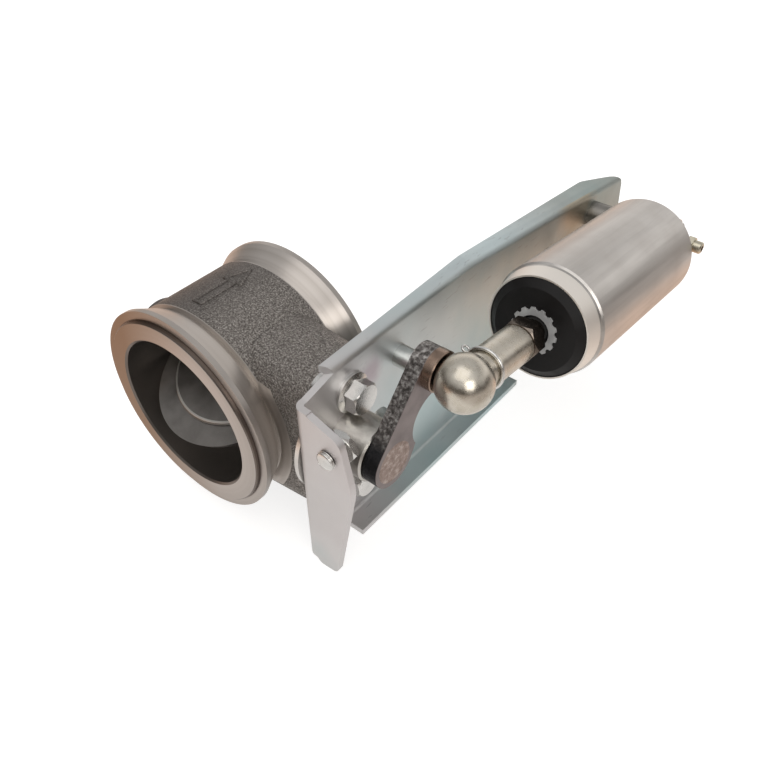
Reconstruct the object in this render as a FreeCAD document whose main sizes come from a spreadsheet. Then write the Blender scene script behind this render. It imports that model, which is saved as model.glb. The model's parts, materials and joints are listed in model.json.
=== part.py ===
import FreeCAD, Part
import math
import os
import re

import Sketcher

# An exhaust brake valve: a cast body with a butterfly plate in its pipe bore, and an air cylinder
# that turns the plate through a rod, a ball joint and a lever. Millimetres and degrees.
# +X runs along the shaft towards the lever, +Y along the pipe, +Z up. The origin is where the
# shaft's axis crosses the pipe's axis. The valve is drawn at rest, with the plate open.

SIZES = {
    # Cast body and its two clamp flanges
    "bore_radius": 35.5,
    "bore_edge": 0.8,
    "half_length": 35.4,
    "face_radius": 44.5,
    "face_edge": 0.6,
    "face_step": 2.0,
    "rim_radius": 48.5,
    "rim_width": 2.4,
    "cone_length": 7.8,
    "neck_radius": 44.6,
    "groove_radius": 43.4,
    "groove_slope": 1.8,
    "groove_wall": 0.8,
    "cast_radius": 44.9,
    # Bosses on the body's two sides
    "boss_face": 57.5,
    "boss_root": 26.0,
    "boss_width": 40.0,
    "boss_top": 37.0,
    "boss_bottom": 38.0,
    "boss_corner": 15.0,
    "boss_draft": 4.0,
    "blind_reach": 20.5,
    "blind_radius": 14.0,
    "blind_draft": 3.0,
    # Shaft, its bushes and seal rings
    "shaft_radius": 6.0,
    "run_gap": 0.05,
    "fit_gap": 0.02,
    "bush_wall": 2.0,
    "bush_length": 11.0,
    "bush_inset": 2.0,
    "plug_radius": 10.0,
    "plug_thickness": 4.0,
    "plug_inset": 0.2,
    "packing_rings": 3,
    "packing_length": 3.8,
    "packing_gap": 0.1,
    # Bearing hub
    "hub_radius": 13.0,
    "hub_length": 17.0,
    "hub_edge": 0.8,
    "hub_floor": 2.0,
    "hub_bush_length": 12.0,
    "spigot_radius": 11.0,
    "spigot_depth": 8.5,
    "spigot_edge": 0.5,
    # Butterfly plate
    "open_tilt": 66.0,
    "closed_tilt": 20.0,
    "plate_gap": 0.3,
    "flat_depth": 3.0,
    "plate_thickness": 3.2,
    "dish_radius": 29.5,
    "dish_height": 1.8,
    "dish_edge": 0.8,
    "plate_screw_radius": 2.5,
    "plate_screw_head": 4.6,
    "plate_screw_rim": 1.3,
    "plate_screw_sink": 0.3,
    "plate_screw_spread": 14.0,
    # Spacer plate and bracket
    "spacer_thickness": 2.0,
    "spacer_radius": 26.5,
    "spacer_lobe": 9.6,
    "ear_radius": 6.0,
    "ear_y": 8.9,
    "ear_z": 30.8,
    "sheet_thickness": 3.0,
    "bend_radius": 1.5,
    "web_front": 26.5,
    "web_top": 38.0,
    "web_bottom": 53.0,
    "flange_start": 9.6,
    "flange_rise": 3.5,
    "flange_kink": 84.0,
    "flange_near_width": 4.4,
    "flange_width": 6.6,
    "flange_far_width": 11.3,
    "flange_near_cut": 4.2,
    "flange_far_cut": 31.0,
    "flange_corner": 14.0,
    "arm_past_pivot": 34.5,
    "arm_end_top": 20.5,
    "arm_bulge": 2.0,
    "arm_foot_bottom": 12.0,
    "foot_start": 5.0,
    "foot_end": 130.0,
    "foot_width": 13.5,
    "tab_top": 34.0,
    "tab_reach": 28.1,
    "tab_shoulder_reach": 23.0,
    "tab_shoulder": 28.3,
    "tab_tip_reach": 17.4,
    "tab_drop": 2.4,
    "window_radius": 6.0,
    "window_y": 19.5,
    "window_z": 6.0,
    # Flange bolts
    "bolt_radius": 4.0,
    "bolt_y": 3.0,
    "bolt_upper": 22.0,
    "bolt_lower": 27.0,
    "bolt_flats": 13.0,
    "bolt_flange": 8.9,
    "bolt_flange_edge": 1.2,
    "bolt_head": 8.0,
    "bolt_length": 20.0,
    # Lever and ball stud
    "lever_gap": 0.6,
    "lever_thickness": 6.85,
    "lever_length": 41.07,
    "lever_angle": 53.8,
    "lever_end": 11.9,
    "eye_radius": 8.8,
    "scoop_radius": 13.3,
    "scoop_along": 20.5,
    "scoop_side": 15.8,
    "rivet_radius": 9.6,
    "rivet_depth": 1.2,
    "ball_reach": 14.25,
    "ball_radius": 6.5,
    "collar_radius": 8.9,
    "collar_edge": 0.4,
    "collar_thickness": 4.4,
    "ball_neck": 3.6,
    "tail_radius": 5.0,
    "tail_height": 1.0,
    # Stops
    "rest_along": 36.7,
    "rest_gap": 1.2,
    "rest_radius": 5.0,
    "rest_tail": 4.0,
    "rest_length": 24.0,
    "stop_x": 76.25,
    "stop_z": 17.0,
    "stop_flats": 13.0,
    "stop_head": 3.0,
    "stop_nut": 4.0,
    "stop_edge": 0.8,
    "stop_proud": 0.6,
    # Ball socket, rod and lock nut, placed from the ball's centre along the rod
    "socket_radius": 12.0,
    "cavity_radius": 9.1,
    "socket_flat": 8.8,
    "socket_mouth": 6.5,
    "shank_radius": 8.5,
    "shank_end": 38.5,
    "clip_place": 13.6,
    "clip_wire": 0.8,
    "nut_flats": 17.0,
    "nut_height": 7.5,
    "rod_radius": 5.0,
    "rod_start": 22.0,
    # Air cylinder
    "cap_front": 52.4,
    "cap_face": 19.2,
    "cap_bevel": 2.6,
    "cap_depth": 16.0,
    "cap_web": 1.0,
    "cap_seal_depth": 1.8,
    "wiper_radius": 8.0,
    "wiper_depth": 5.0,
    "wiper_lip": 1.0,
    "ring_radius": 10.8,
    "ring_hole": 7.2,
    "ring_thickness": 0.8,
    "ring_teeth": 14,
    "ring_notch": 1.5,
    "tube_radius": 26.1,
    "tube_bore": 23.0,
    "tube_length": 106.8,
    "tube_edge": 1.2,
    "lip_radius": 23.7,
    "lip_length": 9.2,
    "lip_step": 0.8,
    "cap_proud": 2.2,
    "rear_wall": 7.5,
    "piston_gap": 0.3,
    "piston_thickness": 8.0,
    "piston_rest": 0.8,
    "piston_land": 1.3,
    "piston_seal_depth": 3.0,
    "wear_ring_depth": 1.4,
    "piston_nut": 5.0,
    "seal_width": 2.4,
    "wire_radius": 1.5,
    "spring_radius": 15.0,
    "spring_turns": 7.0,
    # Rear lug, pivot and air fitting
    "lug_reach": 20.236,
    "pivot_z": 10.7,
    "lug_radius": 20.0,
    "lug_base": 9.0,
    "lug_spigot": 10.0,
    "lug_spigot_depth": 4.0,
    "eye_width": 16.0,
    "eye_outer": 12.0,
    "stud_radius": 7.0,
    "journal_radius": 6.0,
    "stud_tail": 5.5,
    "stud_head": 8.0,
    "stud_head_height": 1.6,
    "stud_groove": 0.8,
    "side_gap": 0.3,
    "washer_radius": 10.5,
    "washer_thickness": 1.6,
    "clip_ring_radius": 8.6,
    "clip_ring_thickness": 1.1,
    "clip_ring_mouth": 4.0,
    "fitting_height": 8.5,
    "fitting_reach": 27.5,
    "fitting_flats": 8.0,
    "fitting_hex": 3.2,
    "fitting_seat": 8.0,
    "fitting_hose": 3.0,
    "fitting_bore": 1.6,
    "fitting_edge": 0.6,
}

document = FreeCAD.newDocument("exhaust_brake_valve")
sheet = document.addObject("Spreadsheet::Sheet", "Sizes")
for row, (size_name, size_value) in enumerate(SIZES.items(), start=1):
    sheet.set("A%d" % row, size_name)
    sheet.set("B%d" % row, str(size_value))
    sheet.setAlias("B%d" % row, size_name)
document.recompute()

# Places that follow from the sizes, as rules that the document works out
WEB_BACK = "(boss_face + spacer_thickness)"
WEB_FRONT = "(boss_face + spacer_thickness + sheet_thickness)"
HUB_END = "(%s + hub_length)" % WEB_FRONT
LEVER_BACK = "(%s + lever_gap)" % HUB_END
LEVER_FRONT = "(%s + lever_thickness)" % LEVER_BACK
BALL_X = "(%s + ball_reach)" % LEVER_FRONT
BALL_Y = "(lever_length * cos(lever_angle))"
BALL_Z = "(lever_length * sin(lever_angle))"
TRAVEL = "(open_tilt - closed_tilt)"
TUBE_FRONT = "(cap_front + cap_proud)"
TUBE_REAR = "(%s + tube_length)" % TUBE_FRONT
PIVOT_REACH = "(%s + lug_reach)" % TUBE_REAR
ROD_SLOPE = "asin((%s - pivot_z) / %s)" % (BALL_Z, PIVOT_REACH)
PIVOT_Y = "(%s + %s * cos(%s))" % (BALL_Y, PIVOT_REACH, ROD_SLOPE)
ARM_END = "(%s + arm_past_pivot)" % PIVOT_Y
CAP_REAR = "(cap_front + cap_depth)"
PISTON_REAR = "(%s - rear_wall - piston_rest - piston_nut)" % TUBE_REAR
PISTON_FRONT = "(%s - piston_thickness)" % PISTON_REAR
BUSH_RADIUS = "(shaft_radius + bush_wall)"
BLIND_FACE = "(bore_radius + blind_reach)"
BUSH_START = "(bore_radius + bush_inset)"
SPIGOT_START = "(boss_face - spigot_depth)"
# The rest pin stands beside the lever's arm, clear of its eye
REST_SIDE = "(eye_radius + rest_radius + rest_gap)"
REST_Y = "(rest_along * cos(lever_angle) + %s * sin(lever_angle))" % REST_SIDE
REST_Z = "(rest_along * sin(lever_angle) - %s * cos(lever_angle))" % REST_SIDE


def formula(rule):
    """Point each size name in a rule at its cell of the sheet."""

    def cell(word):
        return "Sizes." + word[0] if word[0] in SIZES else word[0]

    return re.sub(r"[a-z_]+", cell, str(rule))


def number(rule):
    """Work a rule out as a plain number."""
    found = sheet.evalExpression(formula(rule))
    return float(getattr(found, "Value", found))


def bind(thing, setting, rule):
    """Let a setting of the document follow a rule."""
    thing.setExpression(setting, formula(rule))


def place_on_x(start, y="0", z="0"):
    """Stand a piece's own axis along +X."""
    return "placement(vector(%s; %s; %s); rotation(vector(0; 1; 0); 90))" % (start, y, z)


def place_on_y(start, x="0", z="0"):
    """Stand a piece's own axis along +Y."""
    return "placement(vector(%s; %s; %s); rotation(vector(-1; 0; 0); 90))" % (x, start, z)


def place_on_rod(along="0", side="0", up="0"):
    """Stand a piece's own axis along the rod, from the ball towards the pivot."""
    y = "%s + (%s) * cos(%s) + (%s) * sin(%s)" % (BALL_Y, along, ROD_SLOPE, up, ROD_SLOPE)
    z = "%s - (%s) * sin(%s) + (%s) * cos(%s)" % (BALL_Z, along, ROD_SLOPE, up, ROD_SLOPE)
    turn = "rotation(vector(-1; 0; 0); 90 deg + %s)" % ROD_SLOPE
    return "placement(vector(%s + %s; %s; %s); %s)" % (BALL_X, side, y, z, turn)


def place_across_rod(start, along, up="0"):
    """Stand a piece's own axis along +X, at a distance from the ball along the rod."""
    y = "%s + (%s) * cos(%s) + (%s) * sin(%s)" % (BALL_Y, along, ROD_SLOPE, up, ROD_SLOPE)
    z = "%s - (%s) * sin(%s) + (%s) * cos(%s)" % (BALL_Z, along, ROD_SLOPE, up, ROD_SLOPE)
    return place_on_x(start, y, z)


def place_on_plate(along="0", side="0"):
    """Stand a piece's own axis square to the open butterfly plate, towards its outer face."""
    y = "-(%s) * cos(open_tilt)" % along
    z = "(%s) * sin(open_tilt)" % along
    return "placement(vector(%s; %s; %s); rotation(vector(1; 0; 0); 90 - open_tilt))" % (side, y, z)


def origin_plane(body, role):
    """Find one of a body's own origin planes."""
    return next(plane for plane in body.Origin.OriginFeatures if plane.Role == role)


def corner_arc(before, corner, after, radius):
    """Give the tangent points and the arc that round one corner of an outline."""
    towards_before = (before - corner).normalize()
    towards_after = (after - corner).normalize()
    half = towards_before.getAngle(towards_after) / 2
    reach = radius / math.tan(half)
    middle = (towards_before + towards_after).normalize()
    centre = corner + middle * math.hypot(radius, reach)
    start = corner + towards_before * reach
    end = corner + towards_after * reach
    left_turn = (corner - before).cross(after - corner).z > 0
    first, last = (start, end) if left_turn else (end, start)
    circle = Part.Circle(centre, FreeCAD.Vector(0, 0, 1), radius)
    arc = Part.ArcOfCircle(circle, circle.parameter(first), circle.parameter(last))
    return start, end, arc, left_turn


def outline(body, role, name, corners, holes=()):
    """Draw a closed outline whose corners, corner radii and holes follow rules of the sizes."""
    sketch = body.newObject("Sketcher::SketchObject", name)
    sketch.AttachmentSupport = [(origin_plane(body, role), "")]
    sketch.MapMode = "FlatFace"
    points = [FreeCAD.Vector(number(corner[0]), number(corner[1]), 0) for corner in corners]
    radii = [corner[2] if len(corner) > 2 else None for corner in corners]
    count = len(corners)
    arcs = {}
    for index in range(count):
        if radii[index] is not None:
            arcs[index] = corner_arc(
                points[index - 1], points[index], points[(index + 1) % count], number(radii[index])
            )
    lines = []
    for index in range(count):
        following = (index + 1) % count
        start = arcs[index][1] if index in arcs else points[index]
        end = arcs[following][0] if following in arcs else points[following]
        lines.append(sketch.addGeometry(Part.LineSegment(start, end), False))

    def tie(kind, rule, *where):
        constraint = sketch.addConstraint(Sketcher.Constraint(kind, *where, number(rule)))
        bind(sketch, "Constraints[%d]" % constraint, rule)

    for index in range(count):
        before = lines[index - 1]
        after = lines[index]
        if index not in arcs:
            sketch.addConstraint(Sketcher.Constraint("Coincident", before, 2, after, 1))
            spot, end = after, 1
        else:
            spot, end = sketch.addGeometry(Part.Point(points[index]), True), 1
            arc = sketch.addGeometry(arcs[index][2], False)
            first, last = (1, 2) if arcs[index][3] else (2, 1)
            sketch.addConstraint(Sketcher.Constraint("Tangent", before, 2, arc, first))
            sketch.addConstraint(Sketcher.Constraint("Tangent", arc, last, after, 1))
            sketch.addConstraint(Sketcher.Constraint("PointOnObject", spot, 1, before))
            sketch.addConstraint(Sketcher.Constraint("PointOnObject", spot, 1, after))
            tie("Radius", radii[index], arc)
        tie("DistanceX", corners[index][0], -1, 1, spot, end)
        tie("DistanceY", corners[index][1], -1, 1, spot, end)
    for across, up, radius in holes:
        centre = FreeCAD.Vector(number(across), number(up), 0)
        hole = sketch.addGeometry(Part.Circle(centre, FreeCAD.Vector(0, 0, 1), number(radius)), False)
        tie("Radius", radius, hole)
        tie("DistanceX", across, -1, 1, hole, 3)
        tie("DistanceY", up, -1, 1, hole, 3)
    return sketch


def turned(name, place, corners):
    """Turn a closed profile of (radius, distance along the axis) corners about its axis."""
    body = document.addObject("PartDesign::Body", name)
    feature = body.newObject("PartDesign::Revolution", name + "_turn")
    sketch = outline(body, "XZ_Plane", name + "_profile", corners)
    feature.Profile = sketch
    feature.ReferenceAxis = (sketch, ["V_Axis"])
    feature.Angle = 360
    body.Tip = feature
    bind(body, "Placement", place)
    return body


def sleeve(name, place, inner, outer, length):
    """Turn a plain ring or bush that starts at its place."""
    return turned(name, place, [(inner, "0"), (outer, "0"), (outer, length), (inner, length)])


def sheet_piece(name, role, place, thickness, corners, holes=(), draft=None):
    """Raise an outline on one of the origin planes by a thickness."""
    body = document.addObject("PartDesign::Body", name)
    feature = body.newObject("PartDesign::Pad", name + "_pad")
    feature.Profile = outline(body, role, name + "_profile", corners, holes)
    bind(feature, "Length", thickness)
    if draft:
        bind(feature, "TaperAngle", draft)
    body.Tip = feature
    bind(body, "Placement", place)
    return body


def slab(x="0", y="0", z="0"):
    """Move a piece without turning it."""
    return "placement(vector(%s; %s; %s); rotation(vector(0; 0; 1); 0))" % (x, y, z)


def cylinder(name, place, radius, length):
    piece = document.addObject("Part::Cylinder", name)
    bind(piece, "Radius", radius)
    bind(piece, "Height", length)
    bind(piece, "Placement", place)
    return piece


def ball(name, place, radius):
    piece = document.addObject("Part::Sphere", name)
    bind(piece, "Radius", radius)
    bind(piece, "Placement", place)
    return piece


def block(name, place, length, width, height):
    piece = document.addObject("Part::Box", name)
    bind(piece, "Length", length)
    bind(piece, "Width", width)
    bind(piece, "Height", height)
    bind(piece, "Placement", place)
    return piece


def hexagon(name, place, flats, height):
    piece = document.addObject("Part::Prism", name)
    piece.Polygon = 6
    bind(piece, "Circumradius", "%s / sqrt(3)" % flats)
    bind(piece, "Height", height)
    bind(piece, "Placement", place)
    return piece


def fuse(name, *pieces):
    whole = document.addObject("Part::MultiFuse", name)
    whole.Shapes = list(pieces)
    return whole


def common(name, *pieces):
    whole = document.addObject("Part::MultiCommon", name)
    whole.Shapes = list(pieces)
    return whole


def cut(name, base, *tools):
    whole = document.addObject("Part::Cut", name)
    whole.Base = base
    whole.Tool = tools[0] if len(tools) == 1 else fuse(name + "_tools", *tools)
    return whole


def group(name, *pieces):
    whole = document.addObject("Part::Compound", name)
    whole.Links = list(pieces)
    return whole


nodes = []


def node(name, piece):
    """Name a finished piece, which is then written to its own file."""
    piece.Label = name
    nodes.append(piece)
    return piece


def hex_blank(name, place, flats, height):
    """Make a hexagon with the corners of both faces turned off, as on a nut."""
    corner = "%s / sqrt(3)" % flats
    face = "%s / 2" % flats
    drop = "%s / 12" % flats
    limits = [("0", "0"), (face, "0"), (corner, drop), (corner, "%s - %s" % (height, drop))]
    limits += [(face, height), ("0", height)]
    return common(name, hexagon(name + "_hex", place, flats, height), turned(name + "_limit", place, limits))


def make_valve_body():
    """Cast housing: two clamp flanges, a round waist, a boss for the drive side and a blind boss."""
    face = "half_length"
    recess = "(half_length - face_step)"
    rim = "(half_length - face_step - rim_width)"
    neck = "(half_length - face_step - rim_width - cone_length)"
    groove = "(%s - groove_slope)" % neck
    cast = "(%s - groove_wall)" % groove
    half = [
        ("face_radius - face_edge", face),
        ("face_radius", "half_length - face_edge"),
        ("face_radius", recess),
        ("rim_radius", recess),
        ("rim_radius", rim),
        ("neck_radius", neck),
        ("groove_radius", groove),
        ("cast_radius", cast),
    ]
    front = [(radius, "-(%s)" % along) for radius, along in half]
    profile = [("0", "-" + face)] + front + half[::-1] + [("0", face)]
    ring = turned("body_ring", place_on_y("0"), profile)
    boss_corners = [
        ("-boss_width / 2", "-boss_bottom", "boss_corner"),
        ("boss_width / 2", "-boss_bottom", "boss_corner"),
        ("boss_width / 2", "boss_top", "boss_corner"),
        ("-boss_width / 2", "boss_top", "boss_corner"),
    ]
    boss_length = "boss_face - boss_root"
    boss_place = slab("boss_face")
    boss = sheet_piece("drive_boss", "YZ_Plane", boss_place, boss_length, boss_corners, (), "boss_draft")
    boss.Tip.Reversed = True
    blind_root = "(blind_radius + blind_draft)"
    blind_profile = [("0", "-%s" % BLIND_FACE), ("blind_radius", "-%s" % BLIND_FACE)]
    blind_profile += [(blind_root, "-bore_radius"), ("0", "-bore_radius")]
    blind = turned("blind_boss", place_on_x("0"), blind_profile)
    passage_profile = [
        ("0", "-half_length - 1"),
        ("bore_radius + bore_edge + 1", "-half_length - 1"),
        ("bore_radius", "-half_length + bore_edge"),
        ("bore_radius", "half_length - bore_edge"),
        ("bore_radius + bore_edge + 1", "half_length + 1"),
        ("0", "half_length + 1"),
    ]
    passage = turned("pipe_passage", place_on_y("0"), passage_profile)
    seat = "%s + fit_gap" % BUSH_RADIUS
    plug_seat = "plug_radius + fit_gap"
    shaft_line = [
        ("0", "-%s - 1" % BLIND_FACE),
        (plug_seat, "-%s - 1" % BLIND_FACE),
        (plug_seat, "-%s + plug_thickness" % BLIND_FACE),
        (seat, "-%s + plug_thickness" % BLIND_FACE),
        (seat, "-%s" % BUSH_START),
        ("shaft_radius + side_gap", "-%s" % BUSH_START),
        ("shaft_radius + side_gap", BUSH_START),
        (seat, BUSH_START),
        (seat, "%s - fit_gap" % SPIGOT_START),
        ("spigot_radius + fit_gap", "%s - fit_gap" % SPIGOT_START),
        ("spigot_radius + fit_gap", "boss_face + 1"),
        ("0", "boss_face + 1"),
    ]
    shaft_bore = turned("shaft_bore", place_on_x("0"), shaft_line)
    depth = "%s - bolt_length - 1" % WEB_FRONT
    hole = "bolt_radius + fit_gap"
    upper = cylinder("upper_thread", place_on_x(depth, "bolt_y", "bolt_upper"), hole, "bolt_length")
    lower = cylinder("lower_thread", place_on_x(depth, "bolt_y", "-bolt_lower"), hole, "bolt_length")
    casting = fuse("casting", ring, boss, blind)
    node("valve_body", cut("valve_body_cut", casting, passage, shaft_bore, upper, lower))


def make_shaft_line():
    """Shaft with its flat for the plate, two bushes in the body, one in the hub, plug and packing."""
    flat_end = "(bore_radius - plate_gap / 2)"
    shaft_start = "(-%s + plug_thickness + side_gap)" % BLIND_FACE
    shaft_profile = [
        ("0", shaft_start),
        ("shaft_radius", shaft_start),
        ("shaft_radius", "%s - rivet_depth - rivet_radius + shaft_radius" % LEVER_FRONT),
        ("rivet_radius", "%s - rivet_depth" % LEVER_FRONT),
        ("rivet_radius", LEVER_FRONT),
        ("0", LEVER_FRONT),
    ]
    shaft = turned("shaft_bar", place_on_x("0"), shaft_profile)
    width = "2 * shaft_radius + 2"
    # The flat is cut square to the open plate, along the whole bore
    flat_place = "placement(vector(-(%s); -(%s); %s); rotation(vector(1; 0; 0); 90 - open_tilt))" % (
        flat_end,
        "(shaft_radius + 1) * sin(open_tilt) + flat_depth * cos(open_tilt)",
        "flat_depth * sin(open_tilt) - (shaft_radius + 1) * cos(open_tilt)",
    )
    flat = block("shaft_flat", flat_place, "2 * %s" % flat_end, width, "shaft_radius")
    holes = []
    for name, side in (("left", "-plate_screw_spread"), ("right", "plate_screw_spread")):
        start = "-shaft_radius - 1"
        through = "plate_screw_radius + fit_gap"
        head = "plate_screw_head + fit_gap"
        cone = "1 + plate_screw_rim - plate_screw_sink"
        cone_end = "%s + plate_screw_head - plate_screw_radius" % cone
        tool = [("0", "0"), (head, "0"), (head, cone), (through, cone_end)]
        tool += [(through, "2 * shaft_radius"), ("0", "2 * shaft_radius")]
        holes.append(turned("shaft_screw_hole_" + name, place_on_plate(start, side), tool))
    node("valve_shaft", cut("valve_shaft_cut", shaft, flat, *holes))

    inner = "shaft_radius + run_gap"
    drive_length = "%s - %s - side_gap" % (SPIGOT_START, BUSH_START)
    drive = sleeve("drive_bush", place_on_x(BUSH_START), inner, BUSH_RADIUS, drive_length)
    node("body_bush_drive", drive)
    blind_place = place_on_x("-%s - bush_length" % BUSH_START)
    node("body_bush_blind", sleeve("blind_bush", blind_place, inner, BUSH_RADIUS, "bush_length"))
    outer_place = place_on_x("%s - side_gap - hub_bush_length" % HUB_END)
    node("hub_bush", sleeve("hub_bush_ring", outer_place, inner, BUSH_RADIUS, "hub_bush_length"))
    rings = []
    for step in range(int(number("packing_rings"))):
        start = "%s + hub_floor + packing_gap + %d * (packing_length + packing_gap)" % (SPIGOT_START, step)
        ring_place = place_on_x(start)
        rings.append(sleeve("packing_%d" % (step + 1), ring_place, inner, BUSH_RADIUS, "packing_length"))
    node("shaft_seal", group("shaft_seal_rings", *rings))
    plug_place = place_on_x("-%s + plug_inset" % BLIND_FACE)
    node("end_plug", cylinder("plug_disc", plug_place, "plug_radius", "plug_thickness - plug_inset"))


def make_bearing_hub():
    """Turned barrel that carries the shaft's outer end, its spigot pushed into the drive boss."""
    bore = "%s + fit_gap" % BUSH_RADIUS
    profile = [
        ("shaft_radius + side_gap", SPIGOT_START),
        ("spigot_radius - spigot_edge", SPIGOT_START),
        ("spigot_radius", "%s + spigot_edge" % SPIGOT_START),
        ("spigot_radius", WEB_FRONT),
        ("hub_radius", WEB_FRONT),
        ("hub_radius", "%s - hub_edge" % HUB_END),
        ("hub_radius - hub_edge", HUB_END),
        (bore, HUB_END),
        (bore, "%s + hub_floor" % SPIGOT_START),
        ("shaft_radius + side_gap", "%s + hub_floor" % SPIGOT_START),
    ]
    node("bearing_hub", turned("hub_barrel", place_on_x("0"), profile))


def make_plate():
    """Oval plate on the shaft's flat. Its rim fits the bore closed, and clears it when open."""
    rim = "bore_radius - plate_gap"
    reach = "(bore_radius * 1.5)"
    disc = cylinder("plate_disc", place_on_plate("flat_depth"), "bore_radius * 1.3", "plate_thickness")
    start = "vector(0; -%s * cos(%s); %s * sin(%s))" % (reach, TRAVEL, reach, TRAVEL)
    closed = "placement(%s; rotation(vector(-1; 0; 0); 90 + %s))" % (start, TRAVEL)
    when_closed = cylinder("bore_seen_closed", closed, rim, "2 * %s" % reach)
    when_open = cylinder("bore_seen_open", place_on_y("-%s" % reach), rim, "2 * %s" % reach)
    oval = common("plate_oval", disc, when_closed, when_open)
    back = "flat_depth + plate_thickness"
    dish_profile = [
        ("0", "0"),
        ("dish_radius", "0"),
        ("dish_radius", "dish_height - dish_edge"),
        ("dish_radius - dish_edge", "dish_height"),
        ("0", "dish_height"),
    ]
    dish = turned("plate_dish", place_on_plate(back), dish_profile)
    holes = []
    for name, side in (("left", "-plate_screw_spread"), ("right", "plate_screw_spread")):
        place = place_on_plate("flat_depth - 1", side)
        radius = "plate_screw_radius + fit_gap"
        holes.append(cylinder("plate_thread_" + name, place, radius, "plate_thickness + 1"))
    node("butterfly_plate", cut("plate_cut", fuse("plate_blank", oval, dish), *holes))


def make_plate_screws():
    """Two countersunk screws from the back of the shaft into the plate."""
    screws = []
    for name, side in (("left", "-plate_screw_spread"), ("right", "plate_screw_spread")):
        top = "-plate_screw_sink"
        socket = "plate_screw_radius / 2"
        floor = "plate_screw_rim / 2"
        cone = "plate_screw_rim - plate_screw_sink"
        cone_end = "%s + plate_screw_head - plate_screw_radius" % cone
        end = "shaft_radius + flat_depth + plate_thickness * 0.75"
        profile = [
            ("0", floor),
            (socket, floor),
            (socket, top),
            ("plate_screw_head", top),
            ("plate_screw_head", cone),
            ("plate_screw_radius", cone_end),
            ("plate_screw_radius", end),
            ("0", end),
        ]
        screws.append(turned("plate_screw_" + name, place_on_plate("-shaft_radius", side), profile))
    node("plate_screws", group("plate_screw_pair", *screws))


def make_spacer():
    """Round sheet washer between the boss and the bracket, with a locating ear at its top."""
    place = place_on_x("boss_face")
    disc = cylinder("spacer_disc", place, "spacer_radius", "spacer_thickness")
    ear_place = place_on_x("boss_face", "-ear_y", "ear_z")
    ear = cylinder("spacer_ear", ear_place, "ear_radius", "spacer_thickness")
    strip_corners = [
        ("-ear_y - ear_radius", "ear_z"),
        ("-ear_y - ear_radius", "0"),
        ("-ear_y + ear_radius", "0"),
        ("-ear_y + ear_radius", "ear_z"),
    ]
    strip = sheet_piece("spacer_strip", "YZ_Plane", slab("boss_face"), "spacer_thickness", strip_corners)
    lobes = []
    holes = [cylinder("spacer_bore", place, "spigot_radius + fit_gap", "spacer_thickness")]
    for name, height in (("upper", "bolt_upper"), ("lower", "-bolt_lower")):
        spot = place_on_x("boss_face", "bolt_y", height)
        lobes.append(cylinder("spacer_lobe_" + name, spot, "spacer_lobe", "spacer_thickness"))
        holes.append(cylinder("spacer_hole_" + name, spot, "bolt_radius + side_gap", "spacer_thickness"))
    node("spacer_plate", cut("spacer_cut", fuse("spacer_blank", disc, ear, strip, *lobes), *holes))


def folded(name, role, place, length, arm_a, arm_b):
    """Make a run of sheet bent through a right angle about its outer corner at the place."""
    outer = "bend_radius + sheet_thickness"
    corner_x, corner_y = arm_a[0], arm_b[1]
    corners = [
        (corner_x[0], corner_y[0], outer),
        (arm_a[1], corner_y[0]),
        (arm_a[1], corner_y[1]),
        (corner_x[1], corner_y[1], "bend_radius"),
        (corner_x[1], arm_b[0]),
        (corner_x[0], arm_b[0]),
    ]
    return sheet_piece(name, role, place, length, corners)


def mitre_block(name, slope, top, start):
    """A block that begins at a distance from the mitre plane at the top flange's kink."""
    reach = "4 * (bend_radius + sheet_thickness + 1)"
    y = "flange_kink - %s * sin(%s / 2) + (%s) * cos(%s / 2)" % (reach, slope, start, slope)
    z = "%s - %s * cos(%s / 2) - (%s) * sin(%s / 2)" % (top, reach, slope, start, slope)
    turn = "rotation(vector(-1; 0; 0); %s / 2)" % slope
    place = "placement(vector(boss_face - flange_far_width; %s; %s); %s)" % (y, z, turn)
    return block(name, place, "3 * flange_far_width", reach, "2 * %s" % reach)


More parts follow.
